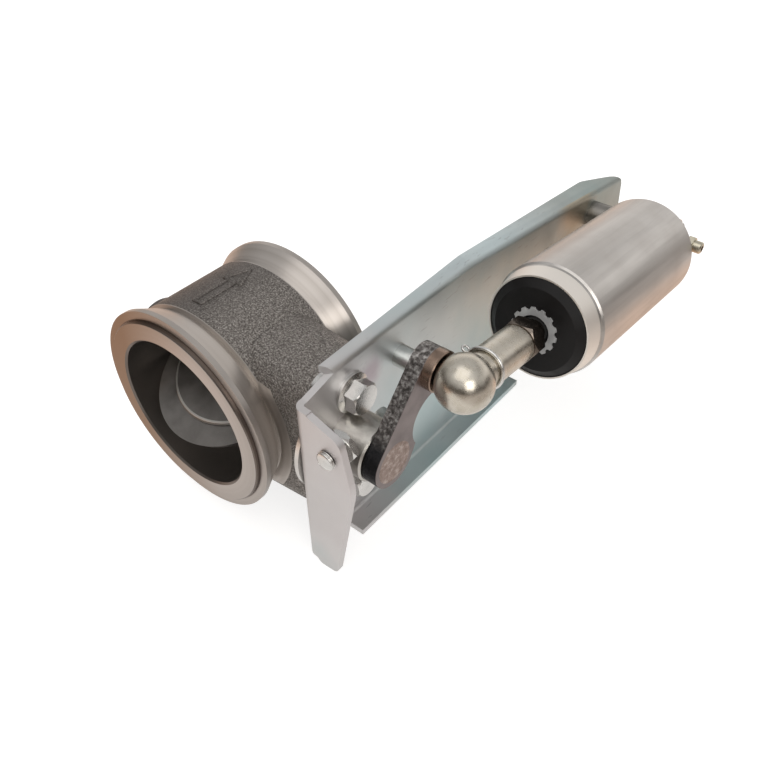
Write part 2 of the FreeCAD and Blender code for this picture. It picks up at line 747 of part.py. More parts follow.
def make_bracket():
    """Bent sheet: a long web, a top flange bent back, a foot flange and an end tab bent forward."""
    top = "(web_top + flange_rise)"
    bend = "(bend_radius + sheet_thickness + 1)"
    foot_far = "(foot_end - 7)"
    flange_near = "(-flange_start + flange_near_cut)"
    web_corners = [
        ("-web_front + %s" % bend, "-web_bottom"),
        ("-foot_start", "-web_bottom"),
        ("-foot_start", "-web_bottom + %s" % bend),
        (foot_far, "-web_bottom + %s" % bend),
        (foot_far, "-web_bottom"),
        ("foot_end", "-web_bottom", "3"),
        ("%s - arm_bulge / 2" % ARM_END, "-arm_foot_bottom", "8"),
        ("%s + arm_bulge" % ARM_END, "0", "12"),
        (ARM_END, "arm_end_top - %s" % bend),
        ("flange_kink", "%s - %s" % (top, bend)),
        (flange_near, "%s - %s" % (top, bend)),
        (flange_near, "web_top"),
        ("-web_front + %s" % bend, "tab_top"),
    ]
    holes = [
        ("0", "0", "spigot_radius + fit_gap"),
        ("bolt_y", "bolt_upper", "bolt_radius + side_gap"),
        ("bolt_y", "-bolt_lower", "bolt_radius + side_gap"),
        ("window_y", "-window_z", "window_radius"),
        (REST_Y, REST_Z, "rest_tail + fit_gap"),
        (PIVOT_Y, "pivot_z", "stud_tail + fit_gap"),
    ]
    web = sheet_piece("bracket_web", "YZ_Plane", slab(WEB_BACK), "sheet_thickness", web_corners, holes)
    forward = ((WEB_BACK, WEB_FRONT), "%s + foot_width" % WEB_BACK)
    backward = ((WEB_FRONT, WEB_BACK), "%s - flange_far_width - 1" % WEB_FRONT)
    foot_up = ("-web_bottom + %s + 2" % bend, ("-web_bottom", "-web_bottom + sheet_thickness"))
    foot_length = "%s + foot_start" % foot_far
    foot = folded("bracket_foot", "XZ_Plane", slab("0", foot_far), foot_length, forward, foot_up)
    flange_down = ("-%s - 2" % bend, ("0", "-sheet_thickness"))
    near_place = slab("0", "flange_kink + %s" % bend, top)
    near_length = "flange_kink + %s + flange_start" % bend
    near_run = folded("bracket_run_near", "XZ_Plane", near_place, near_length, backward, flange_down)
    slope = "atan((%s - arm_end_top) / (%s - flange_kink))" % (top, ARM_END)
    far_turn = "rotation(vector(-1; 0; 0); %s)" % slope
    far_place = "placement(vector(0; %s; arm_end_top); %s)" % (ARM_END, far_turn)
    far_length = "hypot(%s - flange_kink; %s - arm_end_top) + %s" % (ARM_END, top, bend)
    far_run = folded("bracket_run_far", "XZ_Plane", far_place, far_length, backward, flange_down)
    # Both runs of the flange are trimmed to one mitre plane at the kink
    near = cut("bracket_flange_near", near_run, mitre_block("mitre_far_side", slope, top, "0"))
    far = cut("bracket_flange_far", far_run, mitre_block("mitre_near_side", slope, top, "-4 * %s" % bend))
    # Seen from above, the flange widens along the arm and both of its ends are cut aslant
    plan = [
        ("%s + 1" % WEB_FRONT, flange_near),
        ("%s - flange_near_width" % WEB_FRONT, "-flange_start"),
        ("%s - flange_width" % WEB_FRONT, "flange_kink"),
        ("%s - flange_far_width" % WEB_FRONT, "%s - flange_far_cut" % ARM_END, "flange_corner"),
        ("%s + 1" % WEB_FRONT, "%s + arm_bulge" % ARM_END),
    ]
    plan_height = "%s + 1" % top
    flange_plan = sheet_piece("flange_plan", "XY_Plane", slab(), plan_height, plan)
    flange = common("bracket_flange", fuse("bracket_runs", near, far), flange_plan)
    tab_side = ((WEB_BACK, WEB_FRONT), "%s + %s + 2" % (WEB_BACK, bend))
    tab_back = ("-web_front + %s + 2" % bend, ("-web_front", "-web_front + sheet_thickness"))
    tab_height = "web_bottom + tab_top"
    corner_place = slab("0", "0", "-web_bottom")
    corner = folded("bracket_corner", "XY_Plane", corner_place, tab_height, tab_side, tab_back)
    tab_start = "%s + %s" % (WEB_BACK, bend)
    tab_corners = [
        (tab_start, "-web_bottom"),
        ("%s + 2.5" % tab_start, "-web_bottom - tab_drop", "2"),
        ("%s + tab_tip_reach" % WEB_BACK, "-web_bottom - tab_drop + 0.8", "3.5"),
        ("%s + tab_reach" % WEB_BACK, "4", "25"),
        ("%s + tab_shoulder_reach" % WEB_BACK, "tab_shoulder", "6"),
        (tab_start, "tab_top"),
    ]
    tab_place = slab("0", "sheet_thickness - web_front")
    tab_hole = [("stop_x", "stop_z", "bolt_radius + fit_gap")]
    tab = sheet_piece("bracket_tab", "XZ_Plane", tab_place, "sheet_thickness", tab_corners, tab_hole)
    whole = fuse("bracket_sheet", web, foot, flange, corner, tab)
    whole.Refine = True
    node("bracket", whole)


def flange_bolt(name, height):
    """One flange bolt: hexagon head on a round flange, and its shank."""
    spot = place_on_x(WEB_FRONT, "bolt_y", height)
    head_place = place_on_x("%s + bolt_flange_edge" % WEB_FRONT, "bolt_y", height)
    head = hex_blank(name + "_head", head_place, "bolt_flats", "(bolt_head - bolt_flange_edge)")
    skirt = [
        ("0", "-bolt_length"),
        ("bolt_radius * 0.85", "-bolt_length"),
        ("bolt_radius", "-bolt_length + bolt_radius * 0.15"),
        ("bolt_radius", "0"),
        ("bolt_flange", "0"),
        ("bolt_flange", "bolt_flange_edge"),
        ("bolt_flats / 2", "bolt_flange_edge * 2"),
        ("0", "bolt_flange_edge * 2"),
    ]
    return fuse(name, head, turned(name + "_shank", spot, skirt))


def make_bolts():
    pair = [flange_bolt("upper_bolt", "bolt_upper"), flange_bolt("lower_bolt", "-bolt_lower")]
    node("bracket_bolts", group("bolt_pair", *pair))


def make_lever():
    """Forged arm on the shaft's end, straight on one side and scooped on the other."""
    centre = place_on_x(LEVER_BACK)
    eye_place = place_on_x(LEVER_BACK, BALL_Y, BALL_Z)
    turn = "rotation(vector(1; 0; 0); lever_angle)"
    arm_place = "placement(vector(%s; 0; 0); %s)" % (LEVER_BACK, turn)
    end = cylinder("lever_boss", centre, "lever_end", "lever_thickness")
    eye = cylinder("lever_eye", eye_place, "eye_radius", "lever_thickness")
    # In the arm's own plane, along the arm first, then to the left of it
    arm_corners = [
        ("0", "lever_end"),
        ("0", "-lever_end"),
        ("scoop_along - scoop_radius + 1", "-lever_end + 1"),
        ("lever_length", "-eye_radius"),
        ("lever_length", "eye_radius"),
    ]
    arm = sheet_piece("lever_arm", "YZ_Plane", arm_place, "lever_thickness", arm_corners)
    scoop_y = "scoop_along * cos(lever_angle) + scoop_side * sin(lever_angle)"
    scoop_z = "scoop_along * sin(lever_angle) - scoop_side * cos(lever_angle)"
    scoop_place = place_on_x(LEVER_BACK, scoop_y, scoop_z)
    scoop = cylinder("lever_scoop", scoop_place, "scoop_radius", "lever_thickness")
    bore_line = [
        ("0", "%s - 1" % LEVER_BACK),
        ("shaft_radius + fit_gap", "%s - 1" % LEVER_BACK),
        ("shaft_radius + fit_gap", "%s - rivet_depth - rivet_radius + shaft_radius" % LEVER_FRONT),
        ("rivet_radius + fit_gap", "%s - rivet_depth" % LEVER_FRONT),
        ("rivet_radius + fit_gap", "%s + 1" % LEVER_FRONT),
        ("0", "%s + 1" % LEVER_FRONT),
    ]
    bore = turned("lever_bore", place_on_x("0"), bore_line)
    eye_hole = cylinder("lever_eye_hole", eye_place, "tail_radius + fit_gap", "lever_thickness")
    blank = fuse("lever_blank", end, eye, arm)
    node("lever", cut("lever_cut", blank, scoop, bore, eye_hole))


def make_ball_stud():
    """Ball on a short neck, a round collar on the lever and a tail riveted behind it."""
    tail_end = "(%s - tail_height)" % LEVER_BACK
    tail_foot = "(%s - fit_gap)" % LEVER_BACK
    collar_front = "(%s + collar_thickness)" % LEVER_FRONT
    stem_line = [
        ("0", tail_end),
        ("tail_radius + tail_height * 0.6", tail_end),
        ("tail_radius + tail_height * 1.4", tail_foot),
        ("tail_radius", tail_foot),
        ("tail_radius", LEVER_FRONT),
        ("collar_radius", LEVER_FRONT),
        ("collar_radius", "%s - collar_edge" % collar_front),
        ("collar_radius - collar_edge", collar_front),
        ("ball_neck", collar_front),
        ("ball_neck", BALL_X),
        ("0", BALL_X),
    ]
    stem = turned("ball_stem", place_on_x("0", BALL_Y, BALL_Z), stem_line)
    head = ball("ball_head", place_on_x(BALL_X, BALL_Y, BALL_Z), "ball_radius")
    node("ball_stud", fuse("ball_stud_whole", stem, head))


def make_stops():
    """Riveted rest pin behind the lever, and the stop screw with its lock nut in the end tab."""
    rivet_end = "(%s - tail_height)" % WEB_BACK
    pin_end = "(%s + rest_length)" % WEB_FRONT
    pin_line = [
        ("0", rivet_end),
        ("rest_tail + tail_height", rivet_end),
        ("rest_tail + tail_height * 2", WEB_BACK),
        ("rest_tail", WEB_BACK),
        ("rest_tail", WEB_FRONT),
        ("rest_radius", WEB_FRONT),
        ("rest_radius", "%s - stop_edge" % pin_end),
        ("rest_radius - stop_edge", pin_end),
        ("0", pin_end),
    ]
    node("rest_pin", turned("rest_pin_turned", place_on_x("0", REST_Y, REST_Z), pin_line))
    tip = "(-web_front - stop_proud)"
    nut_back = "(-web_front + sheet_thickness)"
    head_back = "(%s + stop_nut)" % nut_back
    shank_line = [
        ("0", tip),
        ("bolt_radius - stop_edge", tip),
        ("bolt_radius", "%s + stop_edge" % tip),
        ("bolt_radius", "%s + stop_edge" % head_back),
        ("0", "%s + stop_edge" % head_back),
    ]
    shank = turned("stop_shank", place_on_y("0", "stop_x", "stop_z"), shank_line)
    head_place = place_on_y(head_back, "stop_x", "stop_z")
    head = hex_blank("stop_hex", head_place, "stop_flats", "stop_head")
    node("stop_screw", fuse("stop_screw_whole", shank, head))
    nut_place = place_on_y(nut_back, "stop_x", "stop_z")
    nut = hex_blank("stop_nut_hex", nut_place, "stop_flats", "stop_nut")
    hole = cylinder("stop_nut_hole", nut_place, "bolt_radius + fit_gap", "stop_nut")
    node("stop_screw_nut", cut("stop_nut_cut", nut, hole))


def make_socket():
    """Round socket over the ball, open towards the lever, with its shank and wire clip."""
    shank_line = [
        ("0", "0"),
        ("shank_radius - 0.7", "0"),
        ("shank_radius - 0.7", "clip_place"),
        ("shank_radius - 0.7", "clip_place + clip_wire"),
        ("shank_radius", "clip_place + clip_wire + 0.7"),
        ("shank_radius", "shank_end - 1"),
        ("shank_radius - 1", "shank_end"),
        ("0", "shank_end"),
    ]
    shank = turned("socket_shank", place_on_rod(), shank_line)
    shell = ball("socket_shell", place_on_x(BALL_X, BALL_Y, BALL_Z), "socket_radius")
    whole = fuse("socket_solid", shell, shank)
    cavity = ball("socket_cavity", place_on_x(BALL_X, BALL_Y, BALL_Z), "cavity_radius")
    mouth_place = place_on_x("%s - socket_radius - 1" % BALL_X, BALL_Y, BALL_Z)
    mouth = cylinder("socket_opening", mouth_place, "socket_mouth", "socket_radius + 1")
    facing = cylinder("socket_facing", mouth_place, "socket_radius", "socket_radius + 1 - socket_flat")
    thread = cylinder("socket_thread", place_on_rod("rod_start - 1"), "rod_radius + fit_gap", "shank_end")
    node("ball_socket", cut("ball_socket_cut", whole, cavity, mouth, facing, thread))
    clip = document.addObject("Part::Torus", "clip_ring")
    bind(clip, "Radius1", "shank_radius + 0.15")
    bind(clip, "Radius2", "clip_wire")
    bind(clip, "Placement", place_on_rod("clip_place"))
    node("socket_clip", clip)


def make_rod():
    """Rod from the socket to the piston, with the lock nut, the piston, its rings and its nut."""
    rod_end = "(%s - rear_wall - piston_rest)" % TUBE_REAR
    rod_line = [
        ("0", "rod_start"),
        ("rod_radius - 0.6", "rod_start"),
        ("rod_radius", "rod_start + 0.6"),
        ("rod_radius", PISTON_FRONT),
        ("rod_radius - 1", PISTON_FRONT),
        ("rod_radius - 1", rod_end),
        ("0", rod_end),
    ]
    node("piston_rod", turned("rod_bar", place_on_rod(), rod_line))
    nut = hex_blank("lock_nut_hex", place_on_rod("shank_end"), "nut_flats", "nut_height")
    hole = cylinder("lock_nut_hole", place_on_rod("shank_end"), "rod_radius + fit_gap", "nut_height")
    node("rod_lock_nut", cut("lock_nut_cut", nut, hole))

    outer = "(tube_bore - piston_gap)"
    seal_floor = "(tube_bore - piston_gap - piston_seal_depth)"
    band_floor = "(tube_bore - piston_gap - wear_ring_depth)"
    seal_start = "(%s + piston_land)" % PISTON_FRONT
    band_start = "(%s - piston_land - seal_width)" % PISTON_REAR
    piston_line = [
        ("rod_radius - 1 + fit_gap", PISTON_FRONT),
        (outer, PISTON_FRONT),
        (outer, seal_start),
        (seal_floor, seal_start),
        (seal_floor, "%s + seal_width" % seal_start),
        (outer, "%s + seal_width" % seal_start),
        (outer, band_start),
        (band_floor, band_start),
        (band_floor, "%s + seal_width" % band_start),
        (outer, "%s + seal_width" % band_start),
        (outer, PISTON_REAR),
        ("rod_radius - 1 + fit_gap", PISTON_REAR),
    ]
    node("piston", turned("piston_turned", place_on_rod(), piston_line))
    wall = "tube_bore - run_gap"
    width = "seal_width - 2 * fit_gap"
    seal_place = place_on_rod("(%s + fit_gap)" % seal_start)
    node("piston_seal", sleeve("seal_ring", seal_place, "%s + fit_gap" % seal_floor, wall, width))
    band_place = place_on_rod("(%s + fit_gap)" % band_start)
    node("wear_ring", sleeve("wear_band", band_place, "%s + fit_gap" % band_floor, wall, width))
    nut_place = place_on_rod(PISTON_REAR)
    nut = hex_blank("piston_nut_hex", nut_place, "stop_flats", "(piston_nut - 0.3)")
    hole = cylinder("piston_nut_hole", nut_place, "rod_radius - 1 + fit_gap", "piston_nut")
    node("piston_nut", cut("piston_nut_cut", nut, hole))


def make_cylinder():
    """Round tube closed at the rear, its front cap, guide bush, wiper, star ring and static ring."""
    lip = "(%s + lip_length)" % TUBE_FRONT
    floor = "(%s - rear_wall)" % TUBE_REAR
    tube_line = [
        ("tube_bore", TUBE_FRONT),
        ("lip_radius", TUBE_FRONT),
        ("tube_radius - lip_step", lip),
        ("tube_radius", "%s + lip_step" % lip),
        ("tube_radius", "%s - tube_edge" % TUBE_REAR),
        ("tube_radius - tube_edge", TUBE_REAR),
        ("lug_spigot + fit_gap", TUBE_REAR),
        ("lug_spigot + fit_gap", "%s - lug_spigot_depth" % TUBE_REAR),
        ("0", "%s - lug_spigot_depth" % TUBE_REAR),
        ("0", floor),
        ("tube_bore", floor),
    ]
    node("cylinder_barrel", turned("tube_turned", place_on_rod(), tube_line))

    cap_radius = "(tube_bore - run_gap)"
    seat = "(cap_front + wiper_depth)"
    groove = "(cap_front + cap_depth / 2)"
    cap_line = [
        ("wiper_radius + fit_gap", "cap_front"),
        ("cap_face", "cap_front"),
        (cap_radius, "cap_front + cap_bevel"),
        (cap_radius, groove),
        ("%s - cap_seal_depth" % cap_radius, groove),
        ("%s - cap_seal_depth" % cap_radius, "%s + seal_width" % groove),
        (cap_radius, "%s + seal_width" % groove),
        (cap_radius, CAP_REAR),
        ("rod_radius + bush_wall + fit_gap", CAP_REAR),
        ("rod_radius + bush_wall + fit_gap", "%s + cap_web" % seat),
        ("rod_radius + side_gap", "%s + cap_web" % seat),
        ("rod_radius + side_gap", seat),
        ("wiper_radius + fit_gap", seat),
    ]
    node("front_cap", turned("cap_turned", place_on_rod(), cap_line))
    static_place = place_on_rod("(%s + fit_gap)" % groove)
    static_inner = "%s - cap_seal_depth + fit_gap" % cap_radius
    static_width = "seal_width - 2 * fit_gap"
    node("cap_seal", sleeve("cap_ring", static_place, static_inner, cap_radius, static_width))
    bush_length = "%s - %s - cap_web - fit_gap" % (CAP_REAR, seat)
    bush_place = place_on_rod("(%s + cap_web + fit_gap)" % seat)
    inner = "rod_radius + run_gap"
    node("rod_bush", sleeve("rod_bush_ring", bush_place, inner, "rod_radius + bush_wall", bush_length))
    wiper_line = [
        (inner, "cap_front + fit_gap"),
        ("rod_radius + wiper_lip", "cap_front + fit_gap"),
        ("rod_radius + wiper_lip * 1.6", "cap_front + wiper_lip * 1.4"),
        ("wiper_radius - wiper_lip", "cap_front + wiper_lip * 1.4"),
        ("wiper_radius - wiper_lip", "cap_front + fit_gap"),
        ("wiper_radius", "cap_front + fit_gap"),
        ("wiper_radius", "%s - fit_gap" % seat),
        (inner, "%s - fit_gap" % seat),
    ]
    node("rod_wiper", turned("wiper_ring", place_on_rod(), wiper_line))

    ring_front = "(cap_front - ring_thickness - fit_gap)"
    ring = sleeve("star_blank", place_on_rod(ring_front), "ring_hole", "ring_radius", "ring_thickness")
    notches = []
    for step in range(int(number("ring_teeth"))):
        angle = "(%d * 360 / ring_teeth)" % step
        side = "((ring_radius + side_gap) * sin(%s))" % angle
        up = "((ring_radius + side_gap) * cos(%s))" % angle
        place = place_on_rod("(%s - 1)" % ring_front, side, up)
        notches.append(cylinder("star_notch_%d" % (step + 1), place, "ring_notch", "ring_thickness + 2"))
    node("star_ring", cut("star_cut", ring, *notches))


def make_spring():
    """Return spring round the rod, between the front cap and the piston."""
    start = "(%s + wire_radius + fit_gap)" % CAP_REAR
    length = "(%s - %s - 2 * wire_radius - 2 * fit_gap)" % (PISTON_FRONT, CAP_REAR)
    helix = document.addObject("Part::Helix", "spring_line")
    bind(helix, "Radius", "spring_radius")
    bind(helix, "Height", length)
    bind(helix, "Pitch", "%s / spring_turns" % length)
    # A many sided wire keeps the coil light, and it stays inside the round one
    section = document.addObject("Part::RegularPolygon", "spring_section")
    section.Polygon = 10
    bind(section, "Circumradius", "wire_radius")
    bind(section, "Placement", "placement(vector(spring_radius; 0; 0); rotation(vector(1; 0; 0); 90))")
    document.recompute()
    sweep = document.addObject("Part::Sweep", "spring_sweep")
    sweep.Sections = [section]
    sweep.Spine = (helix, ["Edge%d" % (index + 1) for index in range(len(helix.Shape.Edges))])
    sweep.Solid = True
    sweep.Frenet = True
    bind(sweep, "Placement", place_on_rod(start))
    node("return_spring", sweep)


def make_rear_lug():
    """Eye block on the cylinder's rear, its bush, and the compressed air nipple in its side."""
    spigot_end = "%s - lug_spigot_depth + side_gap" % TUBE_REAR
    base_line = [
        ("0", spigot_end),
        ("lug_spigot", spigot_end),
        ("lug_spigot", TUBE_REAR),
        ("lug_radius", TUBE_REAR),
        ("lug_radius", "%s + lug_base - tube_edge" % TUBE_REAR),
        ("lug_radius - tube_edge", "%s + lug_base" % TUBE_REAR),
        ("0", "%s + lug_base" % TUBE_REAR),
    ]
    base = turned("lug_base_turned", place_on_rod(), base_line)
    neck_place = place_on_rod(TUBE_REAR, "-eye_width / 2", "eye_outer * 0.9")
    neck = block("lug_neck", neck_place, "eye_width", "eye_outer * 1.8", "lug_reach")
    eye_place = place_on_x("%s - eye_width / 2" % BALL_X, PIVOT_Y, "pivot_z")
    eye = cylinder("lug_eye", eye_place, "eye_outer", "eye_width")
    bush_outer = "(journal_radius + bush_wall)"
    hole = cylinder("lug_hole", eye_place, "%s + fit_gap" % bush_outer, "eye_width")
    # The fitting's hexagon just clears the end of the tube
    port_along = "(%s + fitting_flats / sqrt(3) + side_gap)" % TUBE_REAR
    port_place = place_across_rod("%s + fitting_seat" % BALL_X, port_along, "fitting_height")
    port = cylinder("lug_port", port_place, "fitting_hose + fit_gap", "lug_radius")
    node("rear_lug", cut("lug_cut", fuse("lug_blank", base, neck, eye), hole, port))
    bush = sleeve("eye_bush", eye_place, "journal_radius + run_gap", bush_outer, "eye_width")
    node("pivot_bush", bush)

    hex_start = "(%s + lug_radius + fit_gap)" % BALL_X
    hex_place = place_across_rod(hex_start, port_along, "fitting_height")
    hex_part = hex_blank("fitting_hex", hex_place, "fitting_flats", "fitting_hex")
    air_hole = cylinder("fitting_hole", hex_place, "fitting_bore", "fitting_reach")
    nipple_start = "(%s + fitting_seat + 1)" % BALL_X
    tip = "(%s + fitting_reach)" % BALL_X
    nipple_line = [
        ("fitting_bore", nipple_start),
        ("fitting_hose", nipple_start),
        ("fitting_hose", "%s - fitting_edge" % tip),
        ("fitting_hose - fitting_edge", tip),
        ("fitting_bore", tip),
    ]
    nipple = turned("fitting_nipple", place_across_rod("0", port_along, "fitting_height"), nipple_line)
    node("air_fitting", fuse("air_fitting_whole", cut("fitting_collar", hex_part, air_hole), nipple))


def make_pivot():
    """Stud riveted in the bracket's far end, with a washer and a retaining ring outside the eye."""
    shoulder = "(%s - eye_width / 2 - side_gap)" % BALL_X
    outside = "(%s + eye_width / 2 + side_gap)" % BALL_X
    groove = "(%s + washer_thickness + packing_gap)" % outside
    groove_end = "(%s + clip_ring_thickness + packing_gap)" % groove
    stud_end = "(%s + 3 * stud_groove)" % groove_end
    head_end = "(%s - stud_head_height)" % WEB_BACK
    stud_line = [
        ("0", head_end),
        ("stud_head - stud_head_height / 2", head_end),
        ("stud_head", "%s + stud_head_height / 2" % head_end),
        ("stud_head", WEB_BACK),
        ("stud_tail", WEB_BACK),
        ("stud_tail", WEB_FRONT),
        ("stud_radius", WEB_FRONT),
        ("stud_radius", shoulder),
        ("journal_radius", shoulder),
        ("journal_radius", groove),
        ("journal_radius - stud_groove", groove),
        ("journal_radius - stud_groove", groove_end),
        ("journal_radius", groove_end),
        ("journal_radius", "%s - stud_groove" % stud_end),
        ("journal_radius - stud_groove", stud_end),
        ("0", stud_end),
    ]
    node("pivot_stud", turned("stud_turned", place_on_x("0", PIVOT_Y, "pivot_z"), stud_line))
    washer_place = place_on_x(outside, PIVOT_Y, "pivot_z")
    inner = "journal_radius + run_gap"
    washer = sleeve("washer_ring", washer_place, inner, "washer_radius", "washer_thickness")
    node("pivot_washer", washer)
    ring_place = place_on_x("%s + packing_gap / 2" % groove, PIVOT_Y, "pivot_z")
    inner = "journal_radius - stud_groove + fit_gap"
    ring = sleeve("clip_blank", ring_place, inner, "clip_ring_radius", "clip_ring_thickness")
    mouth_y = "%s - clip_ring_mouth / 2" % PIVOT_Y
    mouth_place = slab("%s - 1" % groove, mouth_y, "pivot_z - clip_ring_radius - 1")
    mouth = block("clip_mouth", mouth_place, "clip_ring_thickness + 3", "clip_ring_mouth", "clip_ring_radius")
    node("pivot_clip", cut("clip_cut", ring, mouth))


make_valve_body()
make_shaft_line()
make_bearing_hub()
make_plate()
make_plate_screws()
make_spacer()
make_bracket()
make_bolts()
make_lever()
make_ball_stud()
make_stops()
make_socket()
make_rod()
make_cylinder()
make_spring()
make_rear_lug()
make_pivot()
document.recompute()

broken = [thing.Name for thing in document.Objects if {"Invalid", "Error"} & set(thing.State)]
if broken:
    raise RuntimeError("failed objects: " + ", ".join(broken))
for piece in nodes:
    if piece.Shape.isNull() or not piece.Shape.isValid() or piece.Shape.Volume <= 0:
        raise RuntimeError("bad shape: " + piece.Label)

os.makedirs("parts", exist_ok=True)
for piece in nodes:
    piece.Shape.exportStep("parts/%s.step" % piece.Label)
    print(piece.Label, len(piece.Shape.Solids), round(piece.Shape.Volume))
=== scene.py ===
import json
import math

import bmesh
import bpy
from mathutils import Matrix, Vector


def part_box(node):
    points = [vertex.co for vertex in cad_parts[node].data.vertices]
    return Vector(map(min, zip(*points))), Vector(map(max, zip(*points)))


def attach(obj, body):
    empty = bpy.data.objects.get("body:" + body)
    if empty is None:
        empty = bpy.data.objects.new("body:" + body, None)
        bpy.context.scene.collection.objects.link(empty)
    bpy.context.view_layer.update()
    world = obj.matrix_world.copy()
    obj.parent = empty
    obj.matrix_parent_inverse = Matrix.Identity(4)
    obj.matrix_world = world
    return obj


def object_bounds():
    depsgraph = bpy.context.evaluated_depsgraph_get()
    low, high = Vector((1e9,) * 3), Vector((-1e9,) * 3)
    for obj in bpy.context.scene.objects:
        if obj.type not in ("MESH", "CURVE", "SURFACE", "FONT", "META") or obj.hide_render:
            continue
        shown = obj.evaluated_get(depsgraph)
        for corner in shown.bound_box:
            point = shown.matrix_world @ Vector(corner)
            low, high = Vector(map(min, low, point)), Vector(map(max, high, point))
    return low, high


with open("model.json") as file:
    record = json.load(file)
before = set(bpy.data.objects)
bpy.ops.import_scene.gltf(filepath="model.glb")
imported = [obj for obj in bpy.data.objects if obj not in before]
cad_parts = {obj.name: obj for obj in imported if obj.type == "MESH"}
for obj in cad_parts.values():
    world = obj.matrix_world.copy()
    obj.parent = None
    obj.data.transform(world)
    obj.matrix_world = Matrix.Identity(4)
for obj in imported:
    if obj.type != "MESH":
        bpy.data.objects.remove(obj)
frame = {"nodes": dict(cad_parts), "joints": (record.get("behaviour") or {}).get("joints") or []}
cad_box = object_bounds()
MM = 0.001

# The camera: it stands above the valve's front right corner, as in the photograph, and looks
# down at the shaft side. Its lens comes from a focal length in pixels, fitted to the photograph.
CAMERA_PLACE = Vector((218.8, -166.3, 233.3)) * MM
CAMERA_LOOK = Vector((-0.4706, 0.5734, -0.6707))
CAMERA_UP = Vector((-0.419, 0.524, 0.742))
SENSOR_WIDTH = 36.0
PICTURE_WIDTH = 770
FOCAL_PIXELS = 790.6
NEAREST_SEEN = 0.01

camera_data = bpy.data.cameras.new("camera")
camera_data.sensor_width = SENSOR_WIDTH
camera_data.lens = FOCAL_PIXELS * SENSOR_WIDTH / PICTURE_WIDTH
camera_data.clip_start = NEAREST_SEEN
camera = bpy.data.objects.new("camera", camera_data)
bpy.context.scene.collection.objects.link(camera)
camera_side = CAMERA_LOOK.cross(CAMERA_UP).normalized()
camera_top = camera_side.cross(CAMERA_LOOK).normalized()
camera.matrix_world = Matrix([
    (camera_side[row], camera_top[row], -CAMERA_LOOK.normalized()[row], CAMERA_PLACE[row])
    for row in range(3)
] + [(0, 0, 0, 1)])
bpy.context.scene.camera = camera
bpy.context.scene.view_settings.view_transform = "Standard"

# The floor: a pale sheet just under the valve, which keeps its shadow. Metal mirrors more of it
# than the camera sees: warm wood to the left and under the cylinder, a dark part to the right,
# and pale grey between.
FLOOR_DROP = 0.0002
FLOOR_SIZE = 6.0
SEEN_GREY = (0.76, 0.76, 0.76)
SHADOW_GREY = (0.42, 0.41, 0.4, 1)
PALE_FLOOR = (0.52, 0.51, 0.5)
DARK_FLOOR = (0.12, 0.085, 0.065)
WARM_FLOOR = (0.46, 0.24, 0.12)
LEFT_STARTS = 0.04
LEFT_FULL = -0.16
RIGHT_STARTS = 0.17
RIGHT_FULL = 0.23
WARM_SPOT = (0.13, 0.25, 0.0)
WARM_REACH = 0.15
WARM_FULL = 0.06


def add(tree, kind, inputs=None, **settings):
    """Put a node in a tree. An input given as a socket is linked, and a plain value is set."""
    node = tree.nodes.new(kind)
    for setting, value in settings.items():
        setattr(node, setting, value)
    for name, value in (inputs or {}).items():
        if isinstance(value, bpy.types.NodeSocket):
            tree.links.new(value, node.inputs[name])
        else:
            node.inputs[name].default_value = value
    return node


def sums(tree, operation, first, second=None):
    """Work out one value from one or two others."""
    inputs = {0: first} if second is None else {0: first, 1: second}
    return add(tree, "ShaderNodeMath", inputs, operation=operation).outputs[0]


def fade(tree, value, start, full):
    """Rise evenly from 0 where the value is at its start to 1 where it is full."""
    return add(tree, "ShaderNodeMapRange", {0: value, 1: start, 2: full}).outputs[0]


def far_from(tree, here, spot):
    """How far each point of a surface lies from one spot."""
    return add(tree, "ShaderNodeVectorMath", {0: here, 1: spot}, operation="DISTANCE").outputs["Value"]


def blend(tree, share, first, second, kind="MIX"):
    """Mix two colours by a share."""
    node = tree.nodes.new("ShaderNodeMix")
    node.data_type = "RGBA"
    node.blend_type = kind
    for socket, value in ((node.inputs[0], share), (node.inputs[6], first), (node.inputs[7], second)):
        if isinstance(value, bpy.types.NodeSocket):
            tree.links.new(value, socket)
        elif isinstance(value, tuple):
            socket.default_value = (*value, 1)
        else:
            socket.default_value = value
    return node.outputs[2]


bpy.ops.mesh.primitive_plane_add(size=FLOOR_SIZE, location=(0, 0, cad_box[0].z - FLOOR_DROP))
floor = bpy.context.object
floor.name = "floor"
floor_paint = bpy.data.materials.new("pale_floor")
floor_paint.use_nodes = True
tree = floor_paint.node_tree
tree.nodes.clear()
ray = add(tree, "ShaderNodeLightPath")
seen = sums(tree, "MAXIMUM", ray.outputs["Is Camera Ray"], ray.outputs["Is Transmission Ray"])
place = add(tree, "ShaderNodeTexCoord").outputs["Object"]
apart = add(tree, "ShaderNodeSeparateXYZ", {0: place})
to_left = fade(tree, apart.outputs["X"], LEFT_STARTS, LEFT_FULL)
to_right = fade(tree, apart.outputs["X"], RIGHT_STARTS, RIGHT_FULL)
under_tube = fade(tree, far_from(tree, place, WARM_SPOT), WARM_REACH, WARM_FULL)
wood = sums(tree, "MAXIMUM", to_left, under_tube)
mirrored = blend(tree, wood, blend(tree, to_right, PALE_FLOOR, DARK_FLOOR), WARM_FLOOR)
tone = blend(tree, seen, mirrored, SEEN_GREY)
shown = sums(tree, "MAXIMUM", seen, ray.outputs["Is Glossy Ray"])
lit = add(tree, "ShaderNodeBsdfDiffuse", {"Color": SHADOW_GREY})
glow = add(tree, "ShaderNodeEmission", {"Color": tone, "Strength": shown})
both = add(tree, "ShaderNodeAddShader", {0: lit.outputs[0], 1: glow.outputs[0]})
add(tree, "ShaderNodeOutputMaterial", {"Surface": both.outputs[0]})
floor.data.materials.append(floor_paint)

